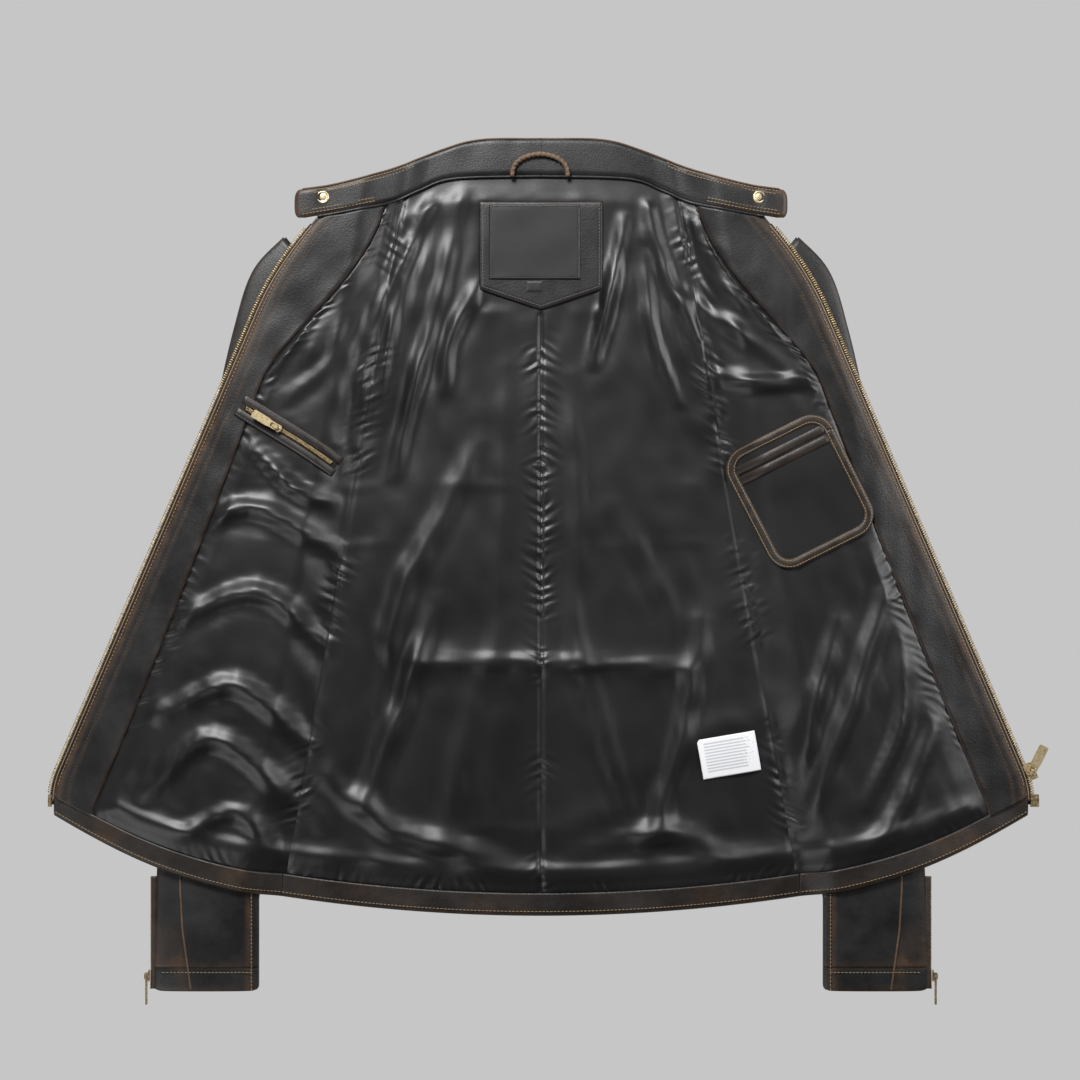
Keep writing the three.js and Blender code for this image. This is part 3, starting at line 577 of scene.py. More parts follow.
def along_path(path, pitch, start=0.0):
    """Points at an even pitch along a path, with the unit direction at each."""
    path = np.array(path, float)
    travelled = np.r_[0, np.cumsum(np.linalg.norm(np.diff(path, axis=0), axis=1))]
    at = np.arange(start, travelled[-1], pitch)
    spots = np.stack([np.interp(at, travelled, path[:, k]) for k in range(3)], -1)
    ahead = np.stack([np.interp(at + 0.5, travelled, path[:, k]) for k in range(3)], -1)
    behind = np.stack([np.interp(at - 0.5, travelled, path[:, k]) for k in range(3)], -1)
    direction = ahead - behind
    return spots, direction / np.maximum(1e-9, np.linalg.norm(direction, axis=1))[:, None]


def copies(name, shape_points, shape_faces, spots, direction, material, upward=(0, 0, 1)):
    """One mesh of the same small shape at every spot, its own y along the direction."""
    upward = np.broadcast_to(np.asarray(upward, float), spots.shape)
    across = np.cross(direction, upward)
    across /= np.linalg.norm(across, axis=1)[:, None]
    out = np.cross(across, direction)
    local = np.asarray(shape_points, float)
    points = (spots[:, None, :] + across[:, None, :] * local[None, :, 0, None]
              + direction[:, None, :] * local[None, :, 1, None] + out[:, None, :] * local[None, :, 2, None])
    step = (np.arange(len(spots)) * len(local))[:, None, None]
    faces = (np.asarray(shape_faces)[None] + step).reshape(-1, 4)
    return mesh_piece(name, points.reshape(-1, 3), faces, material)


def bevelled_block(width, length, height, pinch=0.7):
    """A small block of three stacked rectangles, the top and bottom ones drawn in: 14 faces."""
    rings = [(pinch, -0.5), (1.0, -0.2), (1.0, 0.2), (pinch, 0.5)]
    corners = [(-0.5, -0.5), (0.5, -0.5), (0.5, 0.5), (-0.5, 0.5)]
    points = [(cx * width * k, cy * length * k, h * height) for k, h in rings for cx, cy in corners]
    faces = [(3, 2, 1, 0), (12, 13, 14, 15)]
    for r in range(3):
        faces += [(4 * r + i, 4 * r + (i + 1) % 4, 4 * r + 4 + (i + 1) % 4, 4 * r + 4 + i) for i in range(4)]
    return np.array(points), np.array(faces)


STITCH = bevelled_block(0.75, 2.5, 0.7, 0.55)


def stitches(name, path, material, pitch=3.5):
    """A row of thread stitches lying along a path."""
    spots, direction = along_path(path, pitch, 1.0)
    return copies(name, *STITCH, spots, direction, material)


# ---- placing pieces --------------------------------------------------------------------
BLEND_RUN = 34  # a distance past the fold line, along the fold's outward direction


def on_body(piece, body, replaces=()):
    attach(piece, body)
    if replaces:
        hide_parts(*replaces)
    return piece


def on_front(piece, side, replaces=()):
    """A soft piece of a front panel: its transform is baked into its mesh, and the parts it replaces are
    hidden.
    """
    start = to_frame(side * fold_x(0), 0, 0)
    end = to_frame(side * (fold_x(0) + BLEND_RUN * FOLD_OUT[0]), BLEND_RUN * FOLD_OUT[1], 0)
    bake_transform(piece)
    if replaces:
        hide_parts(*replaces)
    return piece


# ---- satin lining ----------------------------------------------------------------------
HEM_T = 0.03  # share of a panel's height taken by the hem facing
ROWS = 85
BACK_COLUMNS = 61
FRONT_COLUMNS = 27
TUCK = 0.012  # how far the satin runs on under the facing

# Folds: the path of each ridge, its height and its half width.
FOLDS = [
    ([(-102, 337), (-150, 232), (-172, 120)], 11, 8),
    ([(-72, 350), (-93, 258), (-120, 157), (-134, 93)], 9, 9),
    ([(-118, 300), (-138, 220), (-150, 165)], 6, 6),
    ([(-60, 262), (-84, 212), (-88, 170)], 6, 8),
    ([(100, 334), (116, 277), (148, 212), (165, 150)], 11, 8),
    ([(76, 322), (63, 249), (50, 196)], 8, 8),
    ([(98, 290), (104, 230), (128, 160)], 6, 7),
    ([(-56, 120), (-93, 47), (-130, -27), (-148, -119)], 7, 12),
    ([(-93, -27), (-125, -119), (-165, -215)], 7, 11),
    ([(-30, -40), (-62, -130), (-90, -250)], 5, 13),
    ([(17, 10), (54, -137), (91, -247)], 6, 12),
    ([(70, 60), (110, -20), (135, -110)], 5, 12),
    ([(146, -45), (128, -155), (100, -257)], 7, 11),
    ([(-30, 190), (-34, 60), (-40, -110)], 2.5, 10),
    ([(30, 180), (36, 40), (30, -90)], 3, 10),
    ([(-196, -190), (-120, -244), (-40, -262)], 7, 13),
    ([(30, -258), (110, -240), (180, -268)], 7, 12),
    ([(-120, -84), (0, -80), (135, -88)], 2.2, 6),
    ([(146, 323), (174, 262), (214, 226)], 8, 8),
    ([(137, 252), (195, 212), (246, 172)], 7, 8),
    ([(165, 180), (210, 172), (250, 176)], 6, 7),
    ([(312, -27), (284, -119), (242, -232)], 9, 11),
    ([(270, -45), (246, -137), (232, -230)], 7, 9),
    ([(362, -140), (336, -205), (300, -262)], 8, 11),
    ([(330, -60), (330, -140), (300, -210)], 6, 9),
    ([(-194, 286), (-222, 222), (-262, 172)], 8, 8),
    ([(-180, 240), (-196, 190), (-230, 160)], 6, 8),
    ([(-262, 112), (-228, 78), (-192, 62)], 7, 7),
    ([(-336, 30), (-268, 58), (-194, 22)], 9, 9),
    ([(-342, -48), (-262, -18), (-200, -66)], 9, 9),
    ([(-350, -130), (-280, -104), (-214, -158)], 9, 10),
    ([(-364, -204), (-300, -152), (-226, -214)], 8, 10),
    ([(-330, -240), (-280, -222), (-244, -262)], 6, 9),
]
# Faint pressed lines from the jacket's packing: their height across the jacket.
PRESSED = [(79, 0.6), (28, 0.5), (-236, 0.5)]


def path_distance(x, y, path):
    """Distance from each point to a bent path, and how far along the path its nearest place is (0 to 1)."""
    near = np.full(x.shape, 1e9)
    along = np.zeros_like(x)
    for k in range(len(path) - 1):
        (ax, ay), (bx, by) = path[k], path[k + 1]
        dx, dy = bx - ax, by - ay
        share = np.clip(((x - ax) * dx + (y - ay) * dy) / (dx * dx + dy * dy), 0, 1)
        distance = np.hypot(x - ax - share * dx, y - ay - share * dy)
        along = np.where(distance < near, (k + share) / (len(path) - 1), along)
        near = np.minimum(near, distance)
    return near, along


def fold_height(x, y):
    """Each fold adds its height times a bell curve of the distance to its path, dying out at the
    path's two ends. A pressed line is a low, sharp ridge."""
    height = np.zeros_like(x)
    for path, rise, width in FOLDS:
        near, along = path_distance(x, y, through(path, 6))
        taper = np.sin(np.pi * (0.08 + 0.84 * along)) ** 0.7
        height += rise * taper * np.exp(-((near / width) ** 2))
    for level, rise in PRESSED:
        wander = level + 2.5 * np.sin(x / 41 + level)
        height += rise * np.exp(-(((y - wander) / 1.7) ** 2)) * (0.6 + 0.4 * np.sin(x / 23 + level))
    return height


def ripple(x, y, scale, seed, turns=5):
    """Smooth uneven waves: a sum of sines whose directions and phases come from the seed."""
    draw = np.random.default_rng(seed)
    total = np.zeros_like(x)
    for _ in range(turns):
        angle, phase = draw.uniform(0, 2 * np.pi, 2)
        reach = scale * draw.uniform(0.6, 1.6)
        total += np.sin((x * np.cos(angle) + y * np.sin(angle)) * 2 * np.pi / reach + phase)
    return total / turns


NECK_PATCH_HALF = 57
NECK_PATCH_SPAN = (241, 341)
WELT_CENTRE = (231, 125)
WELT_TURN = 31.5
POCKET_CENTRE = (238, 73)
POCKET_TURN = 26.5
POCKET_WIDTH = 100
POCKET_DEPTH = 118
CARE_CENTRE = (173.5, -170)
CARE_TURN = 9.8
CARE_LENGTH = 54
CARE_WIDTH = 37


def turned(x, y, centre, degrees):
    """Coordinates along and across a piece that stands at centre, turned by an angle."""
    a = math.radians(degrees)
    dx, dy = x - centre[0], y - centre[1]
    return dx * math.cos(a) + dy * math.sin(a), dy * math.cos(a) - dx * math.sin(a)


def box_mask(a, b, half_a, half_b, soft=10):
    """1 inside a box and 0 past a soft border."""
    outside = np.maximum(np.abs(a) - half_a, np.abs(b) - half_b)
    return 1 - smooth(outside / soft + 0.4)


def held_flat(x, y):
    """Where the satin lies flat because something is sewn on it."""
    low, high = NECK_PATCH_SPAN
    patch = box_mask(x, y - (low + high) / 2, NECK_PATCH_HALF - 4, (high - low) / 2 - 4)
    welt = box_mask(*turned(-x, y, WELT_CENTRE, WELT_TURN), 52, 9)
    pocket = box_mask(*turned(x, y, POCKET_CENTRE, POCKET_TURN), POCKET_WIDTH / 2 - 3, POCKET_DEPTH / 2 - 3)
    label = box_mask(*turned(x, y, CARE_CENTRE, CARE_TURN), CARE_LENGTH / 2 - 8, CARE_WIDTH / 2 - 6, 14)
    return np.maximum(np.maximum(patch, welt), np.maximum(pocket, label))


def lining_grid():
    """Starting shape of the whole lining in one grid, from the right front across to the left."""
    t = np.linspace(HEM_T, 1, ROWS)[:, None]
    c = np.linspace(-1, 1, BACK_COLUMNS)[None, :]
    back_x, back_y = back_spot(c, t)
    s = np.linspace(0, 1, FRONT_COLUMNS)[None, 1:] * (facing_start(t) + TUCK)
    front_x, front_y = front_spot(s, t)
    x = np.hstack([-front_x[:, ::-1], back_x, front_x])
    y = np.hstack([front_y[:, ::-1], back_y, front_y])
    return x, y


def lining_base(x, y):
    """Mean height of the satin."""
    return underside(x, y) + LINING_LEVEL


def border_weight(rows, columns):
    """1 on the sewn edges and 0 three cells in."""
    i = np.minimum(np.arange(rows), np.arange(rows)[::-1])[:, None]
    j = np.minimum(np.arange(columns), np.arange(columns)[::-1])[None, :]
    return np.clip(1 - np.minimum(i, j) / 3, 0, 1)


SETTLE_FRAMES = 30
BILLOW = 1.5  # the billows are raised to this many times their settled height, for looks
SLACK = 0.03  # extra cloth each way


def soften(a, rounds):
    """Averages each inner point with its neighbours, two parts its own to one of each side's."""
    for _ in range(rounds):
        a = np.concatenate([a[:1], (a[:-2] + 2 * a[1:-1] + a[2:]) / 4, a[-1:]])
        a = np.concatenate([a[:, :1], (a[:, :-2] + 2 * a[:, 1:-1] + a[:, 2:]) / 4, a[:, -1:]], 1)
    return a


def settle(x, y, z, pinned):
    """Lets the slack satin drop and buckle on the leather below, its sewn parts held."""
    rows, columns = x.shape
    cloth = mesh_piece("settling", np.stack([x, y, z], -1).reshape(-1, 3), grid_faces(rows, columns), SATIN)
    bed_x, bed_y = x, y
    bed_z = underside(bed_x, bed_y) + 2.2
    bed = mesh_piece(
        "bed", np.stack([bed_x, bed_y, bed_z], -1).reshape(-1, 3), grid_faces(*bed_x.shape), SATIN,
    )
    bed.modifiers.new("stop", "COLLISION")
    bed.collision.thickness_outer = 0.001
    bed.collision.cloth_friction = 8
    group = cloth.vertex_groups.new(name="sewn")
    levels = np.round(pinned.ravel() * 8) / 8
    for level in np.unique(levels[levels > 0]):
        group.add(np.flatnonzero(levels == level).tolist(), float(level), "REPLACE")
    made = cloth.modifiers.new("cloth", "CLOTH")
    rules = made.settings
    rules.quality = 7
    rules.mass = 0.12
    rules.tension_stiffness = 12
    rules.compression_stiffness = 10
    rules.shear_stiffness = 3
    rules.bending_stiffness = 0.4
    rules.air_damping = 2
    rules.vertex_group_mass = "sewn"
    rules.pin_stiffness = 2
    rules.shrink_min = -SLACK
    made.collision_settings.distance_min = 0.0008
    made.collision_settings.collision_quality = 2
    made.point_cache.frame_start = 1
    made.point_cache.frame_end = SETTLE_FRAMES
    scene = bpy.context.scene
    for step in range(1, SETTLE_FRAMES + 1):
        scene.frame_set(step)
    settled = cloth.evaluated_get(bpy.context.evaluated_depsgraph_get()).to_mesh()
    flat = np.empty(len(settled.vertices) * 3)
    settled.vertices.foreach_get("co", flat)
    scene.frame_set(1)
    for spare in (cloth, bed):
        bpy.data.objects.remove(spare)
    points = (flat.reshape(rows, columns, 3) - SHIFT) / MM
    return padded_shape(points, x, y, z, 1 - pinned)


def padded_shape(points, x, y, z, loose):
    """The starting shape with part of the settled cloth's movement: thin creases and any general
    sinking are averaged out of it, and the billows that are left are raised by BILLOW."""
    moved = [points[..., k] - start for k, start in enumerate((x, y, z))]
    x = x + soften(moved[0], 4) * loose
    y = y + soften(moved[1], 4) * loose
    billows = soften(moved[2], 3) - soften(moved[2], 30)
    return x, y, z + BILLOW * billows * loose


def refine(a):
    """Twice the rows and columns: each new point is nine sixteenths of its two neighbours less a
    sixteenth of the two beyond."""
    for axis in (0, 1):
        a = np.moveaxis(a, axis, 0)
        padded = np.concatenate([2 * a[:1] - a[1:2], a, 2 * a[-1:] - a[-2:-1]])
        between = (9 * (padded[1:-2] + padded[2:-1]) - padded[:-3] - padded[3:]) / 16
        out = np.empty((2 * len(a) - 1, *a.shape[1:]))
        out[0::2], out[1::2] = a, between
        a = np.moveaxis(out, 0, axis)
    return a


def seam_puckers(x, y, distance, seed):
    """A sewn valley with short gathers that stand across it, uneven along the seam."""
    uneven = smooth(0.45 + 1.1 * ripple(y * 0, y, 110, seed)) * smooth(0.6 + ripple(x, y, 30, seed + 2))
    slant = y + 0.55 * distance * np.sign(np.sin(y / 61 + seed)) + 4 * ripple(x, y, 34, seed + 1)
    gathers = np.sin(slant * 2 * np.pi / 10.5) + 0.5 * np.sin(slant * 2 * np.pi / 6.1 + x / 5)
    valley = -1.6 * np.exp(-((distance / 2.4) ** 2))
    return valley + 1.3 * uneven * gathers * np.exp(-((distance / 11) ** 2))


def lining():
    x, y = lining_grid()
    flat = held_flat(x, y)
    base = lining_base(x, y)
    loose = fold_height(x, y) + 1.2 * ripple(x, y, 60, 3) + 0.7 * ripple(x, y, 26, 4)
    hem_roll = 4.5 * np.exp(-(((np.linspace(HEM_T, 1, ROWS)[:, None] - HEM_T) / 0.02 - 1.2) ** 2))
    border = border_weight(*x.shape)
    z = base + (loose + hem_roll) * (1 - flat) * (1 - border)
    z = z - 1.2 * border
    x, y, z = settle(x, y, z, np.maximum(border, flat * 0.999))
    for _ in range(2):
        x, y, z = refine(x), refine(y), refine(z)
    flat = held_flat(x, y)
    base = lining_base(x, y)
    centre = np.abs(x) + 60 * smooth((y - 236) / 20)
    z += (1 - flat) * seam_puckers(x, y, centre, 11)
    z += (1 - flat) * 0.6 * seam_puckers(x, y, from_fold(np.abs(x), y), 12)
    to_facing = np.minimum(x - x[:, :1], x[:, -1:] - x)
    z += (1 - flat) * 0.75 * seam_puckers(x, y, to_facing, 13)
    to_hem = y - y[:1]
    z += 0.6 * (1 - flat) * seam_puckers(y, x, to_hem, 14)
    z = np.minimum(z, base + 13 * (1 - flat) + 0.6)
    z = np.maximum(z, base - 2.4)
    z = mixed(z, np.minimum(z, base + 0.6), flat)
    first = 4 * (FRONT_COLUMNS - 1)
    last = first + 4 * (BACK_COLUMNS - 1)
    return {
        "right": (x[:, :first + 1], y[:, :first + 1], z[:, :first + 1]),
        "back": (x[:, first:last + 1], y[:, first:last + 1], z[:, first:last + 1]),
        "left": (x[:, last:], y[:, last:], z[:, last:]),
    }


NARROWEST = 0.0102  # flat sizes are declared no smaller: a sheet may not be under 10 mm


def cloth_area(x, y):
    """Flat area of a grid seen from above, in square metres."""
    ax, ay = x[1:, 1:] - x[:-1, :-1], y[1:, 1:] - y[:-1, :-1]
    bx, by = x[1:, :-1] - x[:-1, 1:], y[1:, :-1] - y[:-1, 1:]
    return float(np.abs(ax * by - ay * bx).sum() / 2 * MM * MM)


def declare_sheet(piece, width, length, x, y, held, rests_on, slack=1.0):
    """Works out a sheet's flat size and its cut area, the grid's own area from above times slack, and keeps
    neither.
    """
    width, length = max(width, NARROWEST), max(length, NARROWEST)
    min(cloth_area(x, y) * slack, width * length)


satin_grids = lining()
back_satin = sheet_piece("back_satin", *satin_grids["back"], SATIN)
on_body(back_satin, ROOT, ["back_lining"])
declare_sheet(back_satin, 0.50, 0.70, *satin_grids["back"][:2], "laid", ["back_shell"], 1.05)
for side, label in LABELS.items():
    grid = satin_grids[label]
    satin_front = sheet_piece(f"front_satin_{label}", *grid, SATIN)
    on_front(satin_front, side, [f"front_lining_{label}"])
    declare_sheet(satin_front, 0.26, 0.68, *grid[:2], "laid", [f"front_shell_{label}"], 1.05)


# ---- leather shell, facings and hem ----------------------------------------------------
def edge_wear(distance, reach):
    """Brown rub-through that fades away from an edge or a seam."""
    return np.exp(-np.maximum(distance, 0) / reach)


EDGE_INSET = TEETH_WIDTH + 2.2  # leather stops here, inside the zip tape
SHELL_ROWS = 150
SHELL_COLUMNS = 50


def front_grid(columns, s_range, t_range, rows):
    t = np.linspace(*t_range, rows)[:, None]
    u = np.linspace(0, 1, columns)[None, :]
    low, high = s_range(t)
    return front_spot(mixed(low, high, u), t)


def edge_share(t):
    y = mixed(CORNER_Y, FRONT_TOP_Y, t)
    return 1 - EDGE_INSET / (front_edge_x(y) - fold_x(y))


def front_leather(side):
    label = LABELS[side]
    x, y = front_grid(SHELL_COLUMNS, lambda t: (0 * t, edge_share(t)), (0, 1), SHELL_ROWS)
    z = underside(x, y) + LEATHER + 0.25 * ripple(x, y, 50, 20 + side)
    edge = front_edge_x(y) - EDGE_INSET - x
    wear = 0.7 * edge_wear(edge, 5) + 0.7 * edge_wear(y - hem_line(x), 3)
    piece = sheet_piece(f"front_leather_{label}", x, y, z, LEATHER_BLACK, LEATHER, wear, side)
    on_front(piece, side, [f"front_shell_{label}"])
    declare_sheet(piece, 0.26, 0.68, x, y, "laid", [f"sleeve_{label}"])


def hem_line(x):
    """Lower edge of the jacket by x: the back's curve, then the front panel's."""
    s = np.linspace(0, 1, 60)
    front = np.stack(front_spot(s, 0 * s), -1)
    return np.where(np.abs(x) < FOLD_BOTTOM[0], hem_y(x), np.interp(np.abs(x), front[:, 0], front[:, 1]))


def back_leather():
    t = np.linspace(0, 1, SHELL_ROWS)[:, None]
    c = np.linspace(-1, 1, 120)[None, :]
    x, y = back_spot(c, t)
    z = LIFT + LEATHER + 0 * x
    wear = 0.7 * edge_wear(y - hem_y(x), 8) + 0.4 * edge_wear(fold_x(y) - np.abs(x), 5)
    piece = sheet_piece("back_leather", x, y, z, LEATHER_BLACK, LEATHER, wear)
    on_body(piece, ROOT, ["back_shell"])
    declare_sheet(piece, 0.50, 0.70, x, y, "laid", [])
    for side, label in LABELS.items():
        yoke = through([(FOLD_TOP[0], FOLD_TOP[1]), (180, 325), SHOULDER])
        arm = through([(fold_x(173), 173), (ARMPIT_Y - 22, ARMPIT_Y), (186, 245), SHOULDER])
        u = np.linspace(0, 1, 40)
        top = np.stack([np.interp(u, np.linspace(0, 1, len(yoke)), yoke[:, k]) for k in (0, 1)], -1)
        low = np.stack([np.interp(u, np.linspace(0, 1, len(arm)), arm[:, k]) for k in (0, 1)], -1)
        v = np.linspace(0, 1, 30)[:, None, None]
        wing = mixed(low[None], top[None], v)
        shoulder = sheet_piece(
            f"back_shoulder_{label}", wing[..., 0], wing[..., 1], np.full(wing.shape[:2], LIFT + LEATHER),
            LEATHER_BLACK, LEATHER, side=side,
        )
        on_body(shoulder, ROOT)


def front_facing(side):
    label = LABELS[side]
    x, y = front_grid(44, lambda t: (facing_start(t), edge_share(t)), (HEM_T, 0.995), 260)
    outer = front_edge_x(y) - EDGE_INSET - x
    u = np.linspace(0, 1, 44)[None, :]
    roll = 1.6 * np.exp(-((outer / 3.2) ** 2))
    tuck = 1.5 * np.exp(-((u / 0.035) ** 2))
    waves = 0.9 * ripple(x, y, 75, 30 + side) + 0.35 * ripple(x, y, 24, 33 + side)
    inner_ripple = 0.8 * np.exp(-((u / 0.12) ** 2)) * ripple(0 * x, y, 22, 40 + side)
    z = underside(x, y) + FACING_TOP - roll - tuck + (waves * smooth(outer / 20)) + inner_ripple
    strip = np.exp(-(((outer - 5) / 3.2) ** 2)) * (0.65 + 0.5 * ripple(x, y, 70, 36))
    wear = 0.85 * strip + 0.6 * edge_wear(outer, 3) + 0.35 * np.exp(-(((outer - 14) / 2) ** 2))
    wear += 0.35 * edge_wear(x - np.min(x, axis=1, keepdims=True), 2.5)
    piece = sheet_piece(f"front_facing_{label}_leather", x, y, z, LEATHER_BLACK, 1.8, wear, side)
    on_front(piece, side, [f"front_facing_{label}"])
    declare_sheet(piece, 0.11, 0.66, x, y, "laid", [f"front_shell_{label}"])


def hem_height(y_in, waves):
    """Height across the hem strip: rolled down at its lower edge."""
    return FACING_TOP - 0.9 - 1.9 * np.exp(-((y_in / 2.4) ** 2)) + waves


def hem_facings():
    v = np.linspace(0, 1, 14)[:, None]
    c = np.linspace(-1, 1, 260)[None, :]
    low_x, low_y = back_spot(c, 0 * c)
    x, y = low_x + 0 * v, low_y + v * (HEM_FACING + 3)
    z = LIFT + hem_height(v * (HEM_FACING + 3), 0.5 * ripple(x, y, 46, 50) * smooth(v * 3))
    wear = 0.8 * edge_wear(v * 20, 1.6) + 0.12 + 0.2 * smooth(2 * ripple(x, y, 60, 51))
    piece = sheet_piece("back_hem_leather", x, y, z, LEATHER_BLACK, 1.6, wear)
    on_body(piece, ROOT, ["back_hem_facing"])
    declare_sheet(piece, 0.48, 0.022, x, y, "laid", ["back_shell"])
    for side, label in LABELS.items():
        s = np.linspace(0, 1, 120)[None, :] * edge_share(np.zeros((1, 1)))
        low_x, low_y = front_spot(s, 0 * s)
        x, y = low_x + 0 * v, low_y + v * (HEM_FACING + 3)
        waves = 0.6 * ripple(x, y, 40, 52 + side) * smooth(v * 3)
        z = underside(x, y) + hem_height(v * (HEM_FACING + 3), waves)
        wear = 0.8 * edge_wear(v * 20, 1.6) + 0.15 + 0.4 * smooth(2 * ripple(x, y, 60, 55 + side))
        piece = sheet_piece(f"front_hem_leather_{label}", x, y, z, LEATHER_BLACK, 1.6, wear, side)
        on_front(piece, side, [f"front_hem_facing_{label}"])
        declare_sheet(piece, 0.235, 0.022, x, y, "laid", [f"front_shell_{label}"])
        stitch_x, stitch_y = front_spot(np.linspace(0.01, 0.96, 160), np.zeros(160))
        stitch_z = underside(stitch_x, stitch_y) + FACING_TOP - 0.6
        path = np.stack([side * stitch_x, stitch_y + 4.2, stitch_z], -1)
        on_front(stitches(f"hem_stitches_{label}", path, THREAD_TAN), side)
    x = np.linspace(-FOLD_BOTTOM[0], FOLD_BOTTOM[0], 200)
    path = np.stack([x, hem_y(x) + 4.2, 0 * x + LIFT + FACING_TOP - 0.6], -1)
    on_body(stitches("hem_stitches_back", path, THREAD_TAN), ROOT)


back_leather()
for side in LABELS:
    front_leather(side)
    front_facing(side)
hem_facings()


# ---- collar ----------------------------------------------------------------------------
COLLAR_END_X = 226
COLLAR_TOP = 6.9
COLLAR_TIP_ROUND = 10


def collar_spot(u, v):
    """A place on the collar: u from the centre back to the tip, v from the neck seam outwards. The
    tip is drawn in at its corners by a rounded curve."""
    corner = 1 - (1 - np.abs(2 * v - 1) ** 3.2) ** (1 / 3.2)
    x = u * (COLLAR_END_X - COLLAR_TIP_ROUND * corner)
    return x, mixed(neck_line(x) - 1, collar_line(x), v)


def collar_half(side):
    label = LABELS[side]
    u = np.linspace(-0.008, 1, 150)[None, :]
    v = np.linspace(0, 1, 26)[:, None]
    x, y = collar_spot(u, v)
    width = collar_line(x) - neck_line(x)
    tip = (1 - u) * COLLAR_END_X
    border = np.minimum(np.minimum(v, 1 - v) * width, tip)
    waves = 0.8 * ripple(x, y, 60, 70 + side) * smooth(tip / 14) * smooth(x / 25)
    z = underside(x, y) + COLLAR_TOP - 2.0 * np.exp(-((border / 2.2) ** 2)) + waves
    tip_zone = smooth((x - 120) / 70)
    wear = edge_wear(tip, 4) + tip_zone * 0.8 * edge_wear((1 - v) * width, 3.5)
    wear += 0.6 * tip_zone * edge_wear(v * width, 3.5) + 0.75 * edge_wear((1 - v) * width, 1.1)
    piece = sheet_piece(f"collar_leather_{label}", x, y, z, LEATHER_BLACK, 3.2, wear, side)
    replaced = [f"collar_end_{label}"] + (["collar_back"] if side > 0 else [])
    on_front(piece, side, replaced)
    declare_sheet(piece, 0.24, 0.036, x, y, "laid", [f"front_shell_{label}"])

    def line(name, start, end, across, colour):
        at = np.linspace(start, end, 120)
        px, py = collar_spot(at, np.full(120, across))
        path = np.stack([side * px, py, underside(px, py) + COLLAR_TOP - 0.2], -1)
        on_front(stitches(f"{name}_{label}", path, colour, 3.3), side)

    at = np.linspace(0, 0.985, 140)
    px, py = collar_spot(at, np.full(140, 0.975))
    path = np.stack([side * px, py, underside(px, py) + COLLAR_TOP - 1.0], -1)
    on_front(tube_piece(f"collar_edge_{label}", path, 0.75, PIPING, 6, wear=0.7), side)
    line("collar_lower_stitch", 0.68, 0.97, 0.13, THREAD_TAN)
    line("collar_lower_stitch_inner", 0.68, 0.96, 0.24, THREAD_TAN)
    line("collar_upper_stitch", 0.52, 0.97, 0.9, THREAD_TAN)
    line("collar_upper_stitch_inner", 0.52, 0.96, 0.8, THREAD_TAN)


def neck_seam(side):
    """Dark rolled seam between collar and lining."""
    x = np.linspace(0, 205, 120)
    y = neck_line(x) - 1.5
    path = np.stack([side * x, y, underside(x, y) + 5.6], -1)
    on_front(tube_piece(f"neck_seam_{LABELS[side]}", path, 1.3, LEATHER_BLACK, 8), side)


SNAP = (200, 343)
SNAP_PROFILE = [(0, 1.75), (1.8, 1.65), (3.0, 1.35), (3.6, 1.2), (4.2, 1.45), (4.8, 1.9), (5.4, 1.75),
                (5.9, 1.0), (6.0, 0)]


def snap(side):
    """Press stud: the profile turned about its own axis, a raised ring round a low dome."""
    label = LABELS[side]
    angle = np.linspace(0, 2 * np.pi, 40, endpoint=False)[None, :]
    radius = np.array([r for r, _ in SNAP_PROFILE])[::-1, None]
    height = np.array([h for _, h in SNAP_PROFILE])[::-1, None]
    points = np.stack([side * SNAP[0] + radius * np.cos(angle), SNAP[1] + radius * np.sin(angle),
                       22.5 + height + 0 * angle], -1)
    faces = grid_faces(len(SNAP_PROFILE), 40, wrap=True)
    piece = orient(mesh_piece(f"snap_{label}", points.reshape(-1, 3), faces, BRIGHT_BRASS))
    on_body(piece, FRONTS[side], [f"snap_cap_{label}"])


for side in LABELS:
    collar_half(side)
    neck_seam(side)
    snap(side)


# ---- zip along the front edges ---------------------------------------------------------
TEETH_BOTTOM_Y = -206
ZIP_TOP_Y = 315
TOOTH_PITCH = 2.2


def edge_path(inset, height, start=TEETH_BOTTOM_Y, end=ZIP_TOP_Y, side=1, count=220):
    """A line beside the front edge, a fixed distance inside it."""
    y = np.linspace(start, end, count)
    x = front_edge_x(y) - inset
    return np.stack([side * x, y, underside(x, y) + height], -1)


def front_zip(side):
    label = LABELS[side]
    body = FRONTS[side]
    y = np.linspace(CORNER_Y + 6, ZIP_TOP_Y + 4, 160)[:, None]
    inset = np.linspace(TEETH_WIDTH + 7, 2.6, 8)[None, :]
    x = front_edge_x(y) - inset
    z = underside(x, y) + 1.9
    tape = sheet_piece(f"zip_tape_{label}_woven", x, y + 0 * x, z, TAPE, 0.8, side=side)
    on_body(tape, body, [f"zip_tape_{label}"])
    declare_sheet(tape, 0.011, 0.60, x, y + 0 * x, "laid", [f"front_shell_{label}"])
    spots, direction = along_path(edge_path(2.1, 1.5, side=side), TOOTH_PITCH, 0.6 if side > 0 else 1.7)
    tooth = bevelled_block(3.9, 1.35, 2.3, 0.62)
    teeth = copies(f"zip_teeth_{label}_brass", *tooth, spots, direction, AGED_BRASS)
    on_body(teeth, body, [f"zip_teeth_{label}"])
    piping = tube_piece(
        f"edge_piping_{label}", edge_path(TEETH_WIDTH + 1.7, 4.4, CORNER_Y + 10, ZIP_TOP_Y + 2, side),
        0.65, LIGHT_PIPING, 6,
    )
    on_body(piping, body)
    for k, inset in enumerate((9.6, 19.5)):
        path = edge_path(inset, FACING_TOP + 0.1, CORNER_Y + 24, ZIP_TOP_Y - 2, side)
        colour = THREAD_TAN if k == 0 else THREAD_BLACK
        on_body(stitches(f"edge_stitch_{label}_{k}", path, colour), body)


for side in LABELS:
    front_zip(side)


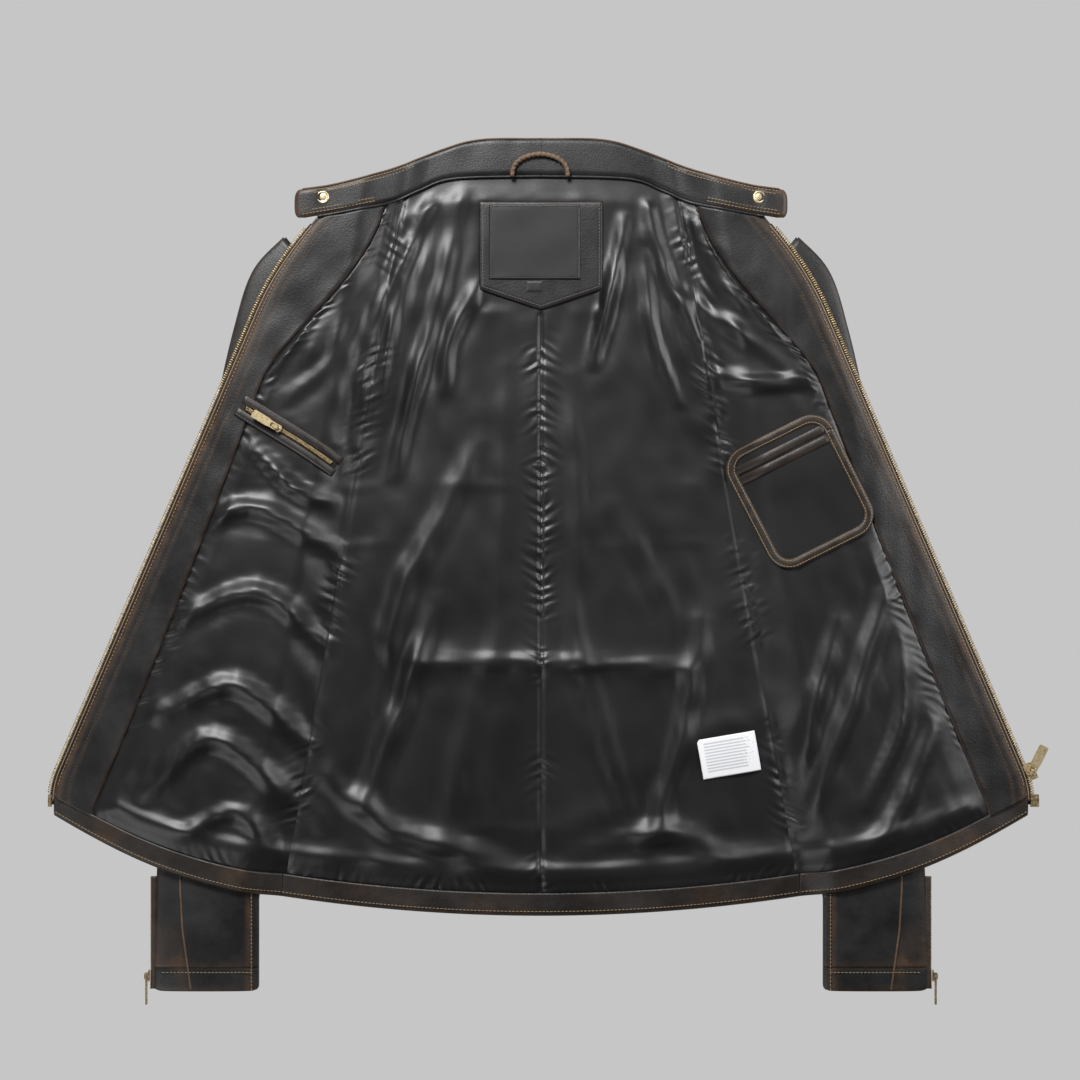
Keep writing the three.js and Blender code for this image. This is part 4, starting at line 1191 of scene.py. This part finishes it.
# ---- sleeves and cuffs -----------------------------------------------------------------
SLEEVE_HALF = 7


def sleeve_ring(low, high, around, half, inset):
    """Flattened tube: at each row an oval whose ends are the sleeve's inner and outer lines. The top
    and bottom are flat and the sides round."""
    angle = np.linspace(0, 2 * np.pi, around, endpoint=False)[None, :]
    across = (1 - np.sign(np.cos(angle)) * np.abs(np.cos(angle)) ** 0.75) / 2
    (inner_x, inner_y), (outer_x, outer_y) = low, high
    x = mixed(inner_x + inset, outer_x - inset, across)
    y = mixed(inner_y, outer_y, across)
    z = SLEEVE_LEVEL + (half - inset) * np.sign(np.sin(angle)) * np.abs(np.sin(angle)) ** 0.6
    return x, y + 0 * x, z + 0 * x, angle


def mirrored_tube(name, x, y, z, material, wear, side, thick):
    if side < 0:
        x, y, z, wear = -x[:, ::-1], y[:, ::-1], z[:, ::-1], wear[:, ::-1]
    rows, columns = x.shape
    piece = mesh_piece(
        name, np.stack([x, y, z], -1).reshape(-1, 3), grid_faces(rows, columns, wrap=True), material,
        wear=wear.reshape(-1),
    )
    solidify = piece.modifiers.new("thickness", "SOLIDIFY")
    solidify.thickness = thick * MM
    solidify.offset = -1
    return piece


def cuff_seam_x(y):
    """The piped seam that runs up from the cuff near the sleeve's outer edge."""
    return np.interp(y, [CUFF_END, CUFF_TOP, -330, -292, -240], [322, 325, 330, 332, 331])


def sleeve_wear(x, y):
    outside = smooth((x - cuff_seam_x(y)) / 3) * smooth((-318 - y) / 50)
    inner = 0.7 * np.exp(-(((x - 269) / 2.4) ** 2)) * smooth((-200 - y) / 60)
    near_cuff = 0.5 * np.exp(-np.maximum(0, y - CUFF_TOP) / 4)
    rubbed = 0.9 * outside * (0.6 + 0.6 * ripple(x, y, 30, 61))
    return rubbed + inner + near_cuff + 0.3 * edge_wear(sleeve_outer_x(y) - x, 4)


def sleeve(side):
    label = LABELS[side]
    t = np.linspace(0, 1, 190)[:, None]
    head = smooth((t - 0.86) / 0.12)
    y_in, y_out = mixed(CUFF_TOP, 214, t), mixed(CUFF_TOP, 308, t)
    inner = (sleeve_inner_x(y_in) - 13 * head, y_in)
    outer = (sleeve_outer_x(y_out), y_out)
    x, y, z, _ = sleeve_ring(inner, outer, 64, SLEEVE_HALF, 0)
    z = np.clip(z + 0.7 * ripple(x, y, 55, 80 + side) * smooth((y - CUFF_TOP) / 30), 0.4 + 1.9 * head, 14.6)
    z = mixed(z, np.minimum(z, underside(x, y) - 0.6), smooth(head * 3))
    piece = mirrored_tube(f"sleeve_leather_{label}", x, y, z, LEATHER_BLACK, sleeve_wear(x, y), side, 1.4)
    on_body(piece, ROOT, [f"sleeve_{label}"])
    x, y, z, _ = sleeve_ring(inner, outer, 48, SLEEVE_HALF, 2.4)
    inside = mirrored_tube(f"sleeve_satin_{label}", x, y, z, SATIN, 0 * x, side, 0.5)
    on_body(inside, ROOT, [f"sleeve_lining_{label}"])
    v = np.linspace(0, 1, 24)[:, None]
    y = mixed(CUFF_END, CUFF_TOP + 1.2, v)
    tuck = 5 * (1 - np.sqrt(1 - np.clip(1 - v * 21 / 5, 0, 1) ** 2))
    inner = (sleeve_inner_x(np.full_like(y, CUFF_TOP)) + tuck, y)
    outer = (np.full_like(y, sleeve_outer_x(CUFF_TOP)) - tuck, y)
    x, y, z, _ = sleeve_ring(inner, outer, 64, 7.3, 0)
    roll = 0.8 * np.exp(-(((v * 21) / 2) ** 2)) + 0.6 * np.exp(-(((1 - v) * 21 / 1.5) ** 2))
    z = SLEEVE_LEVEL + (z - SLEEVE_LEVEL) * (1 - 0.1 * roll)
    blotches = smooth(1.6 * ripple(x, y, 28, 62))
    beside_seam = np.exp(-(((x - cuff_seam_x(y) - 3) / 8) ** 2))
    wear = 0.6 * edge_wear(y - CUFF_END, 2.5) + 0.8 * blotches * beside_seam
    wear += 0.7 * np.exp(-(((x - 269) / 3.5) ** 2))
    cuff = mirrored_tube(f"cuff_leather_{label}", x, y, z, LEATHER_BLACK, wear, side, 2.2)
    on_body(cuff, ROOT, [f"cuff_band_{label}"])
    top = SLEEVE_LEVEL + SLEEVE_HALF
    y = np.linspace(CUFF_END + 1, -190, 90)
    path = np.stack([side * cuff_seam_x(y), y, 0 * y + top - 0.1], -1)
    on_body(tube_piece(f"cuff_piping_{label}", path, 1.0, PIPING, 8, wear=0.8), ROOT)
    x = np.linspace(266, 350, 40)
    path = np.stack([side * x, 0 * x + CUFF_TOP - 3.5, 0 * x + top + 0.2], -1)
    on_body(stitches(f"cuff_stitch_{label}", path, THREAD_TAN), ROOT)
    path = np.stack([side * (0 * y + 266.5), y, 0 * y + top - 0.4], -1)
    on_body(stitches(f"sleeve_stitch_{label}", path, THREAD_TAN), ROOT)


def cuff_zip(side):
    """The closed zip in the sleeve's outer edge: a rolled leather edge with its teeth outermost."""
    label = LABELS[side]
    y = np.linspace(CUFF_END + 2, -282, 80)
    x = np.maximum(sleeve_outer_x(y), sleeve_outer_x(CUFF_TOP)) - 0.6
    height = SLEEVE_LEVEL + 0 * y
    edge = tube_piece(f"cuff_edge_{label}", np.stack([side * x, y, height], -1), 3.4, LEATHER_BLACK, 12, 0.5)
    on_body(edge, ROOT, [f"cuff_zip_{label}"])
    spots, direction = along_path(np.stack([side * (x + 3.0), y, height], -1), 1.8)
    teeth = copies(f"cuff_teeth_{label}", *bevelled_block(1.6, 1.1, 2.4, 0.6), spots, direction, AGED_BRASS)
    on_body(teeth, ROOT)


for side in LABELS:
    sleeve(side)
    cuff_zip(side)


# ---- neck patch, labels and hanger loop ------------------------------------------------
def neck_patch():
    u = np.linspace(-1, 1, 90)[None, :]
    v = np.linspace(0, 1, 70)[:, None]
    low = mixed(260.0, 241.0, 1 - np.abs(u))
    y = mixed(low, 341.0, v)
    x = u * NECK_PATCH_HALF + 0 * y
    border = np.minimum(NECK_PATCH_HALF - np.abs(x), np.minimum(y - low, 341 - y))
    z = 7.9 - 1.0 * np.exp(-((border / 1.6) ** 2)) + 0.35 * ripple(x, y, 50, 90) + LIFT
    z = z - 0.25 * np.exp(-(((border - 3.2) / 0.9) ** 2))
    piece = sheet_piece("neck_patch_leather", x, y, z, LEATHER_BLACK, 1.1, 0.25 * edge_wear(border, 1.5))
    on_body(piece, ROOT, ["neck_patch"])
    declare_sheet(piece, 0.114, 0.1, x, y, "laid", ["back_lining"])
    inner = NECK_PATCH_HALF - 3.2
    corners = [(-inner, 338), (inner, 338), (inner, 262.5), (0, 244.5), (-inner, 262.5), (-inner, 338)]
    path = [(*p, 8.15) for p in corners]
    on_body(stitches("neck_patch_stitch", path, THREAD_GREY, 3.0), ROOT)


def flat_label(name, centre, width, height, level, material, replaces, gathered=0.3):
    u = np.linspace(-0.5, 0.5, 60)[None, :]
    v = np.linspace(-0.5, 0.5, 50)[:, None]
    x, y = centre[0] + u * width + 0 * v, centre[1] + v * height + 0 * u
    border = np.minimum(width / 2 - np.abs(u * width), height / 2 - np.abs(v * height))
    z = level + gathered * ripple(x, y, 40, 91) * smooth(border / 6) - 0.25 * np.exp(-((border / 1.2) ** 2))
    piece = sheet_piece(name, x, y, z, material, 0.4)
    on_body(piece, ROOT, [replaces])
    declare_sheet(piece, width * MM, height * MM, x, y, "laid", ["neck_patch"])
    return x, y, z


def neck_labels():
    flat_label("neck_label_satin", (-6, 303.4), 84, 69, 9.0, LABEL_SATIN, "neck_label")
    a, b = 84 / 2 - 1.6, 69 / 2 - 1.6
    corners = [(-a, -b), (a, -b), (a, b), (-a, b), (-a, -b)]
    path = [(cx - 6, cy + 303.4, 9.15) for cx, cy in corners]
    on_body(stitches("neck_label_stitch", path, THREAD_BLACK, 2.6), ROOT)
    flat_label("size_tab_satin", (-6, 262.4), 15, 10, 9.0, LABEL_SATIN, "size_tab", 0.1)


def care_label():
    u = np.linspace(-0.5, 0.5, 40)[None, :]
    v = np.linspace(-0.5, 0.5, 30)[:, None]
    a = math.radians(CARE_TURN)
    dx, dy = u * CARE_LENGTH + 0 * v, v * CARE_WIDTH + 0 * u
    x = CARE_CENTRE[0] + dx * math.cos(a) - dy * math.sin(a)
    y = CARE_CENTRE[1] + dx * math.sin(a) + dy * math.cos(a)
    z = 7.9 + 0.9 * np.sin(dx / 13) * smooth((27 - dx) / 12) + 0.6 * np.cos(dy / 11) + LIFT
    piece = sheet_piece("care_label_cloth", x, y, z, CARE_CLOTH, 0.35)
    on_body(piece, ROOT, ["care_label"])
    declare_sheet(piece, CARE_LENGTH * MM, CARE_WIDTH * MM, x, y, "laid", ["back_lining"])


def hanger_loop():
    a = np.linspace(np.pi, 0, 90)
    x = -1 + 25.5 * np.cos(a) * (1 + 0.02 * np.sin(3 * a))
    y = NECK_Y - 2.6 + 21 * np.sin(a) ** 0.8
    path = np.stack([x, y, 10.3 + 0 * a], -1)
    loop = tube_piece("hanger_loop_cord", path, 2.25, LOOP_CORD, 14, wear=0.6, squash=0.85, twist=9)
    on_body(loop, "loop", ["hanger_loop"])


neck_patch()
neck_labels()
care_label()
hanger_loop()


# ---- zip pocket on the right front -----------------------------------------------------
def on_right(x, y, lift):
    """A point of the right front, given in the left front's mirror image."""
    return np.stack([-x, y, underside(x, y) + lift], -1)


def spun(a, b, centre, degrees):
    """The place at a along and b across a piece that stands at centre, turned by an angle."""
    t = math.radians(degrees)
    return centre[0] + a * math.cos(t) - b * math.sin(t), centre[1] + a * math.sin(t) + b * math.cos(t)


WELT_LENGTH = 106


def welt_spot(a, b):
    """The welts droop more steeply at the end nearest the fold."""
    return spun(a, b - 0.0011 * np.maximum(0, -a - 5) ** 2, WELT_CENTRE, WELT_TURN)


def pocket_band(name, low, high, bulge, material, spot, lift, span, side, replaces, rest, wear_level):
    """A narrow leather strip with a rounded section and rubbed edges."""
    u = np.linspace(-span, span, 110)[None, :]
    v = np.linspace(0, 1, 14)[:, None]
    x, y = spot(u + 0 * v, mixed(low, high, v) + 0 * u)
    ends = np.exp(-(((span - np.abs(u)) / 2) ** 2))
    z = underside(x, y) + lift + bulge * np.sin(np.pi * v) ** 0.6 - 0.9 * ends + 0.25 * ripple(x, y, 20, 95)
    wear = wear_level + 0.5 * edge_wear(np.minimum(v, 1 - v) * (high - low), 1.5)
    piece = sheet_piece(name, x, y, z, material, 0.9, wear + 0 * x, side)
    on_front(piece, side, replaces)
    declare_sheet(piece, 2.05 * span * MM, (high - low) * MM, x, y, "laid", [rest])
    return piece


def zip_pocket():
    for k, (low, high) in enumerate(((2.6, 10.6), (-10.6, -2.6))):
        replaces = ["pocket_zip_welt"] if k == 0 else []
        pocket_band(f"pocket_welt_{k}", low, high, 1.2, LEATHER_BLACK, welt_spot, 6.6, WELT_LENGTH / 2, -1,
                    replaces, "front_lining_right", 0.05)
    pocket_band("pocket_zip_tape", -4, 4, 0.1, TAPE, welt_spot, 6.6, WELT_LENGTH / 2 - 2, -1,
                [], "front_lining_right", 0)
    rows = []
    for offset, start in ((0.85, 0.0), (-0.85, 0.75)):
        a = np.linspace(-46, 46, 120)
        x, y = welt_spot(a, np.full(120, offset))
        rows.append(along_path(on_right(x, y, 8.0), 1.5, start))
    spots = np.concatenate([r[0] for r in rows])
    direction = np.concatenate([r[1] for r in rows])
    teeth = copies("pocket_teeth_brass", *bevelled_block(2.2, 0.95, 1.3, 0.6), spots, direction, AGED_BRASS)
    on_front(teeth, -1, ["pocket_zip_teeth"])
    for k, offset in enumerate((9.0, -9.0)):
        a = np.linspace(-WELT_LENGTH / 2 + 2, WELT_LENGTH / 2 - 2, 120)
        x, y = welt_spot(a, np.full(120, offset))
        on_front(stitches(f"pocket_stitch_{k}", on_right(x, y, 7.75), THREAD_GREY, 3.0), -1)


# ---- patch pocket on the left front ----------------------------------------------------
POCKET_CORNER = 22
BINDING = 9


def patch_spot(a, b):
    return spun(a, b, POCKET_CENTRE, POCKET_TURN)


def rounded_outline(width, height, corner, count):
    """Points at an even spacing round a rectangle whose corners are quarter circles."""
    w, h = width / 2 - corner, height / 2 - corner
    pieces = []
    for cx, cy, start in ((w, h, 0), (-w, h, 90), (-w, -h, 180), (w, -h, 270)):
        a = np.radians(start + np.linspace(0, 90, 16))
        pieces.append(np.stack([cx + corner * np.cos(a), cy + corner * np.sin(a)], -1))
    loop = np.concatenate(pieces + [pieces[0][:1]])
    travelled = np.r_[0, np.cumsum(np.hypot(*np.diff(loop, axis=0).T))]
    at = np.linspace(0, travelled[-1], count)
    return np.stack([np.interp(at, travelled, loop[:, k]) for k in (0, 1)], -1)


def patch_pocket():
    v = np.linspace(0, 1, 13)
    rings = np.stack([
        rounded_outline(POCKET_WIDTH + 6 - 2 * BINDING * (1 - k), POCKET_DEPTH + 4 - 2 * BINDING * (1 - k),
                        POCKET_CORNER - BINDING * (1 - k), 241) for k in v
    ])
    x, y = patch_spot(rings[..., 0], rings[..., 1])
    across = v[:, None]
    groove = 0.35 * (np.exp(-(((across - 0.2) / 0.06) ** 2)) + np.exp(-(((across - 0.8) / 0.06) ** 2)))
    z = underside(x, y) + 7.3 + 1.2 * np.sin(np.pi * across) ** 0.5 - groove + 0.2 * ripple(x, y, 16, 97)
    wear = 0.22 + 0.6 * edge_wear(np.minimum(across, 1 - across) * BINDING, 1.2) + 0.3 * ripple(x, y, 14, 98)
    binding = sheet_piece("pocket_binding_leather", x[::-1], y[::-1], z[::-1], LEATHER_BLACK, 1.0, wear[::-1])
    on_front(binding, 1, ["patch_pocket_binding"])
    for k in (0.2, 0.8):
        inset = BINDING * (1 - k)
        ring = rounded_outline(
            POCKET_WIDTH + 6 - 2 * inset, POCKET_DEPTH + 4 - 2 * inset, POCKET_CORNER - inset, 241,
        )
        px, py = patch_spot(ring[:, 0], ring[:, 1])
        path = np.stack([px, py, underside(px, py) + 8.15], -1)
        on_front(stitches(f"pocket_binding_stitch_{int(k * 10)}", path, THREAD_TAN, 3.0), 1)
    a = np.linspace(-1, 1, 60)[None, :] * (POCKET_WIDTH / 2 - 4)
    b = np.linspace(-1, 1, 70)[:, None] * (POCKET_DEPTH / 2 - 4)
    x, y = patch_spot(a + 0 * b, b + 0 * a)
    sag = 0.9 * np.sin(a / 19 + 1) * np.sin(b / 23) + 0.5 * ripple(x, y, 34, 99)
    panel = sheet_piece("pocket_panel_satin", x, y, underside(x, y) + 6.9 + 0.5 * sag, SATIN, 0.5)
    on_front(panel, 1, ["patch_pocket_panel"])
    declare_sheet(panel, 0.092, 0.110, x, y, "laid", ["front_lining_left"])
    span = POCKET_WIDTH / 2 - 5
    for k, (low, high) in enumerate(((38.2, 46.5), (28.5, 36.8))):
        label = ("upper", "lower")[k]
        pocket_band(f"patch_welt_{label}_leather", low, high, 1.3, LEATHER_BLACK, patch_spot, 7.6, span, 1,
                    [f"patch_pocket_welt_{label}"], "patch_pocket_panel", 0.1)


zip_pocket()
patch_pocket()


# ---- metal pieces that keep their drafted shape ----------------------------------------
def finish_metal():
    """Rounds the edges of the zips' small fittings and gives them their metal."""
    bright = ["main_zip_slider", "main_zip_puller", "pocket_zip_slider", "pocket_zip_puller"]
    aged = ["zip_retainer_box", "zip_insertion_pin", "snap_socket_left", "snap_socket_right"]
    for label in LABELS.values():
        aged += [f"cuff_zip_{label}_slider", f"cuff_zip_{label}_puller"]
    finishes = {**dict.fromkeys(bright, BRIGHT_BRASS), **dict.fromkeys(aged, AGED_BRASS)}
    for name, material in finishes.items():
        node = bpy.data.objects[name]
        node.data.materials.clear()
        node.data.materials.append(material)
        bevel = node.modifiers.new("round", "BEVEL")
        bevel.width = 0.25 * MM
        bevel.segments = 2
        bevel.limit_method = "ANGLE"


finish_metal()


# ---- backdrop --------------------------------------------------------------------------
def table_top():
    reach = 8.0
    corners = [(-reach, -reach, 0), (reach, -reach, 0), (reach, reach, 0), (-reach, reach, 0)]
    mesh = bpy.data.meshes.new("table")
    mesh.from_pydata(corners, [], [(0, 1, 2, 3)])
    table = bpy.data.objects.new("table", mesh)
    bpy.context.collection.objects.link(table)
    mesh.materials.append(FLOOR)
    table.location.z = -0.0008


table_top()
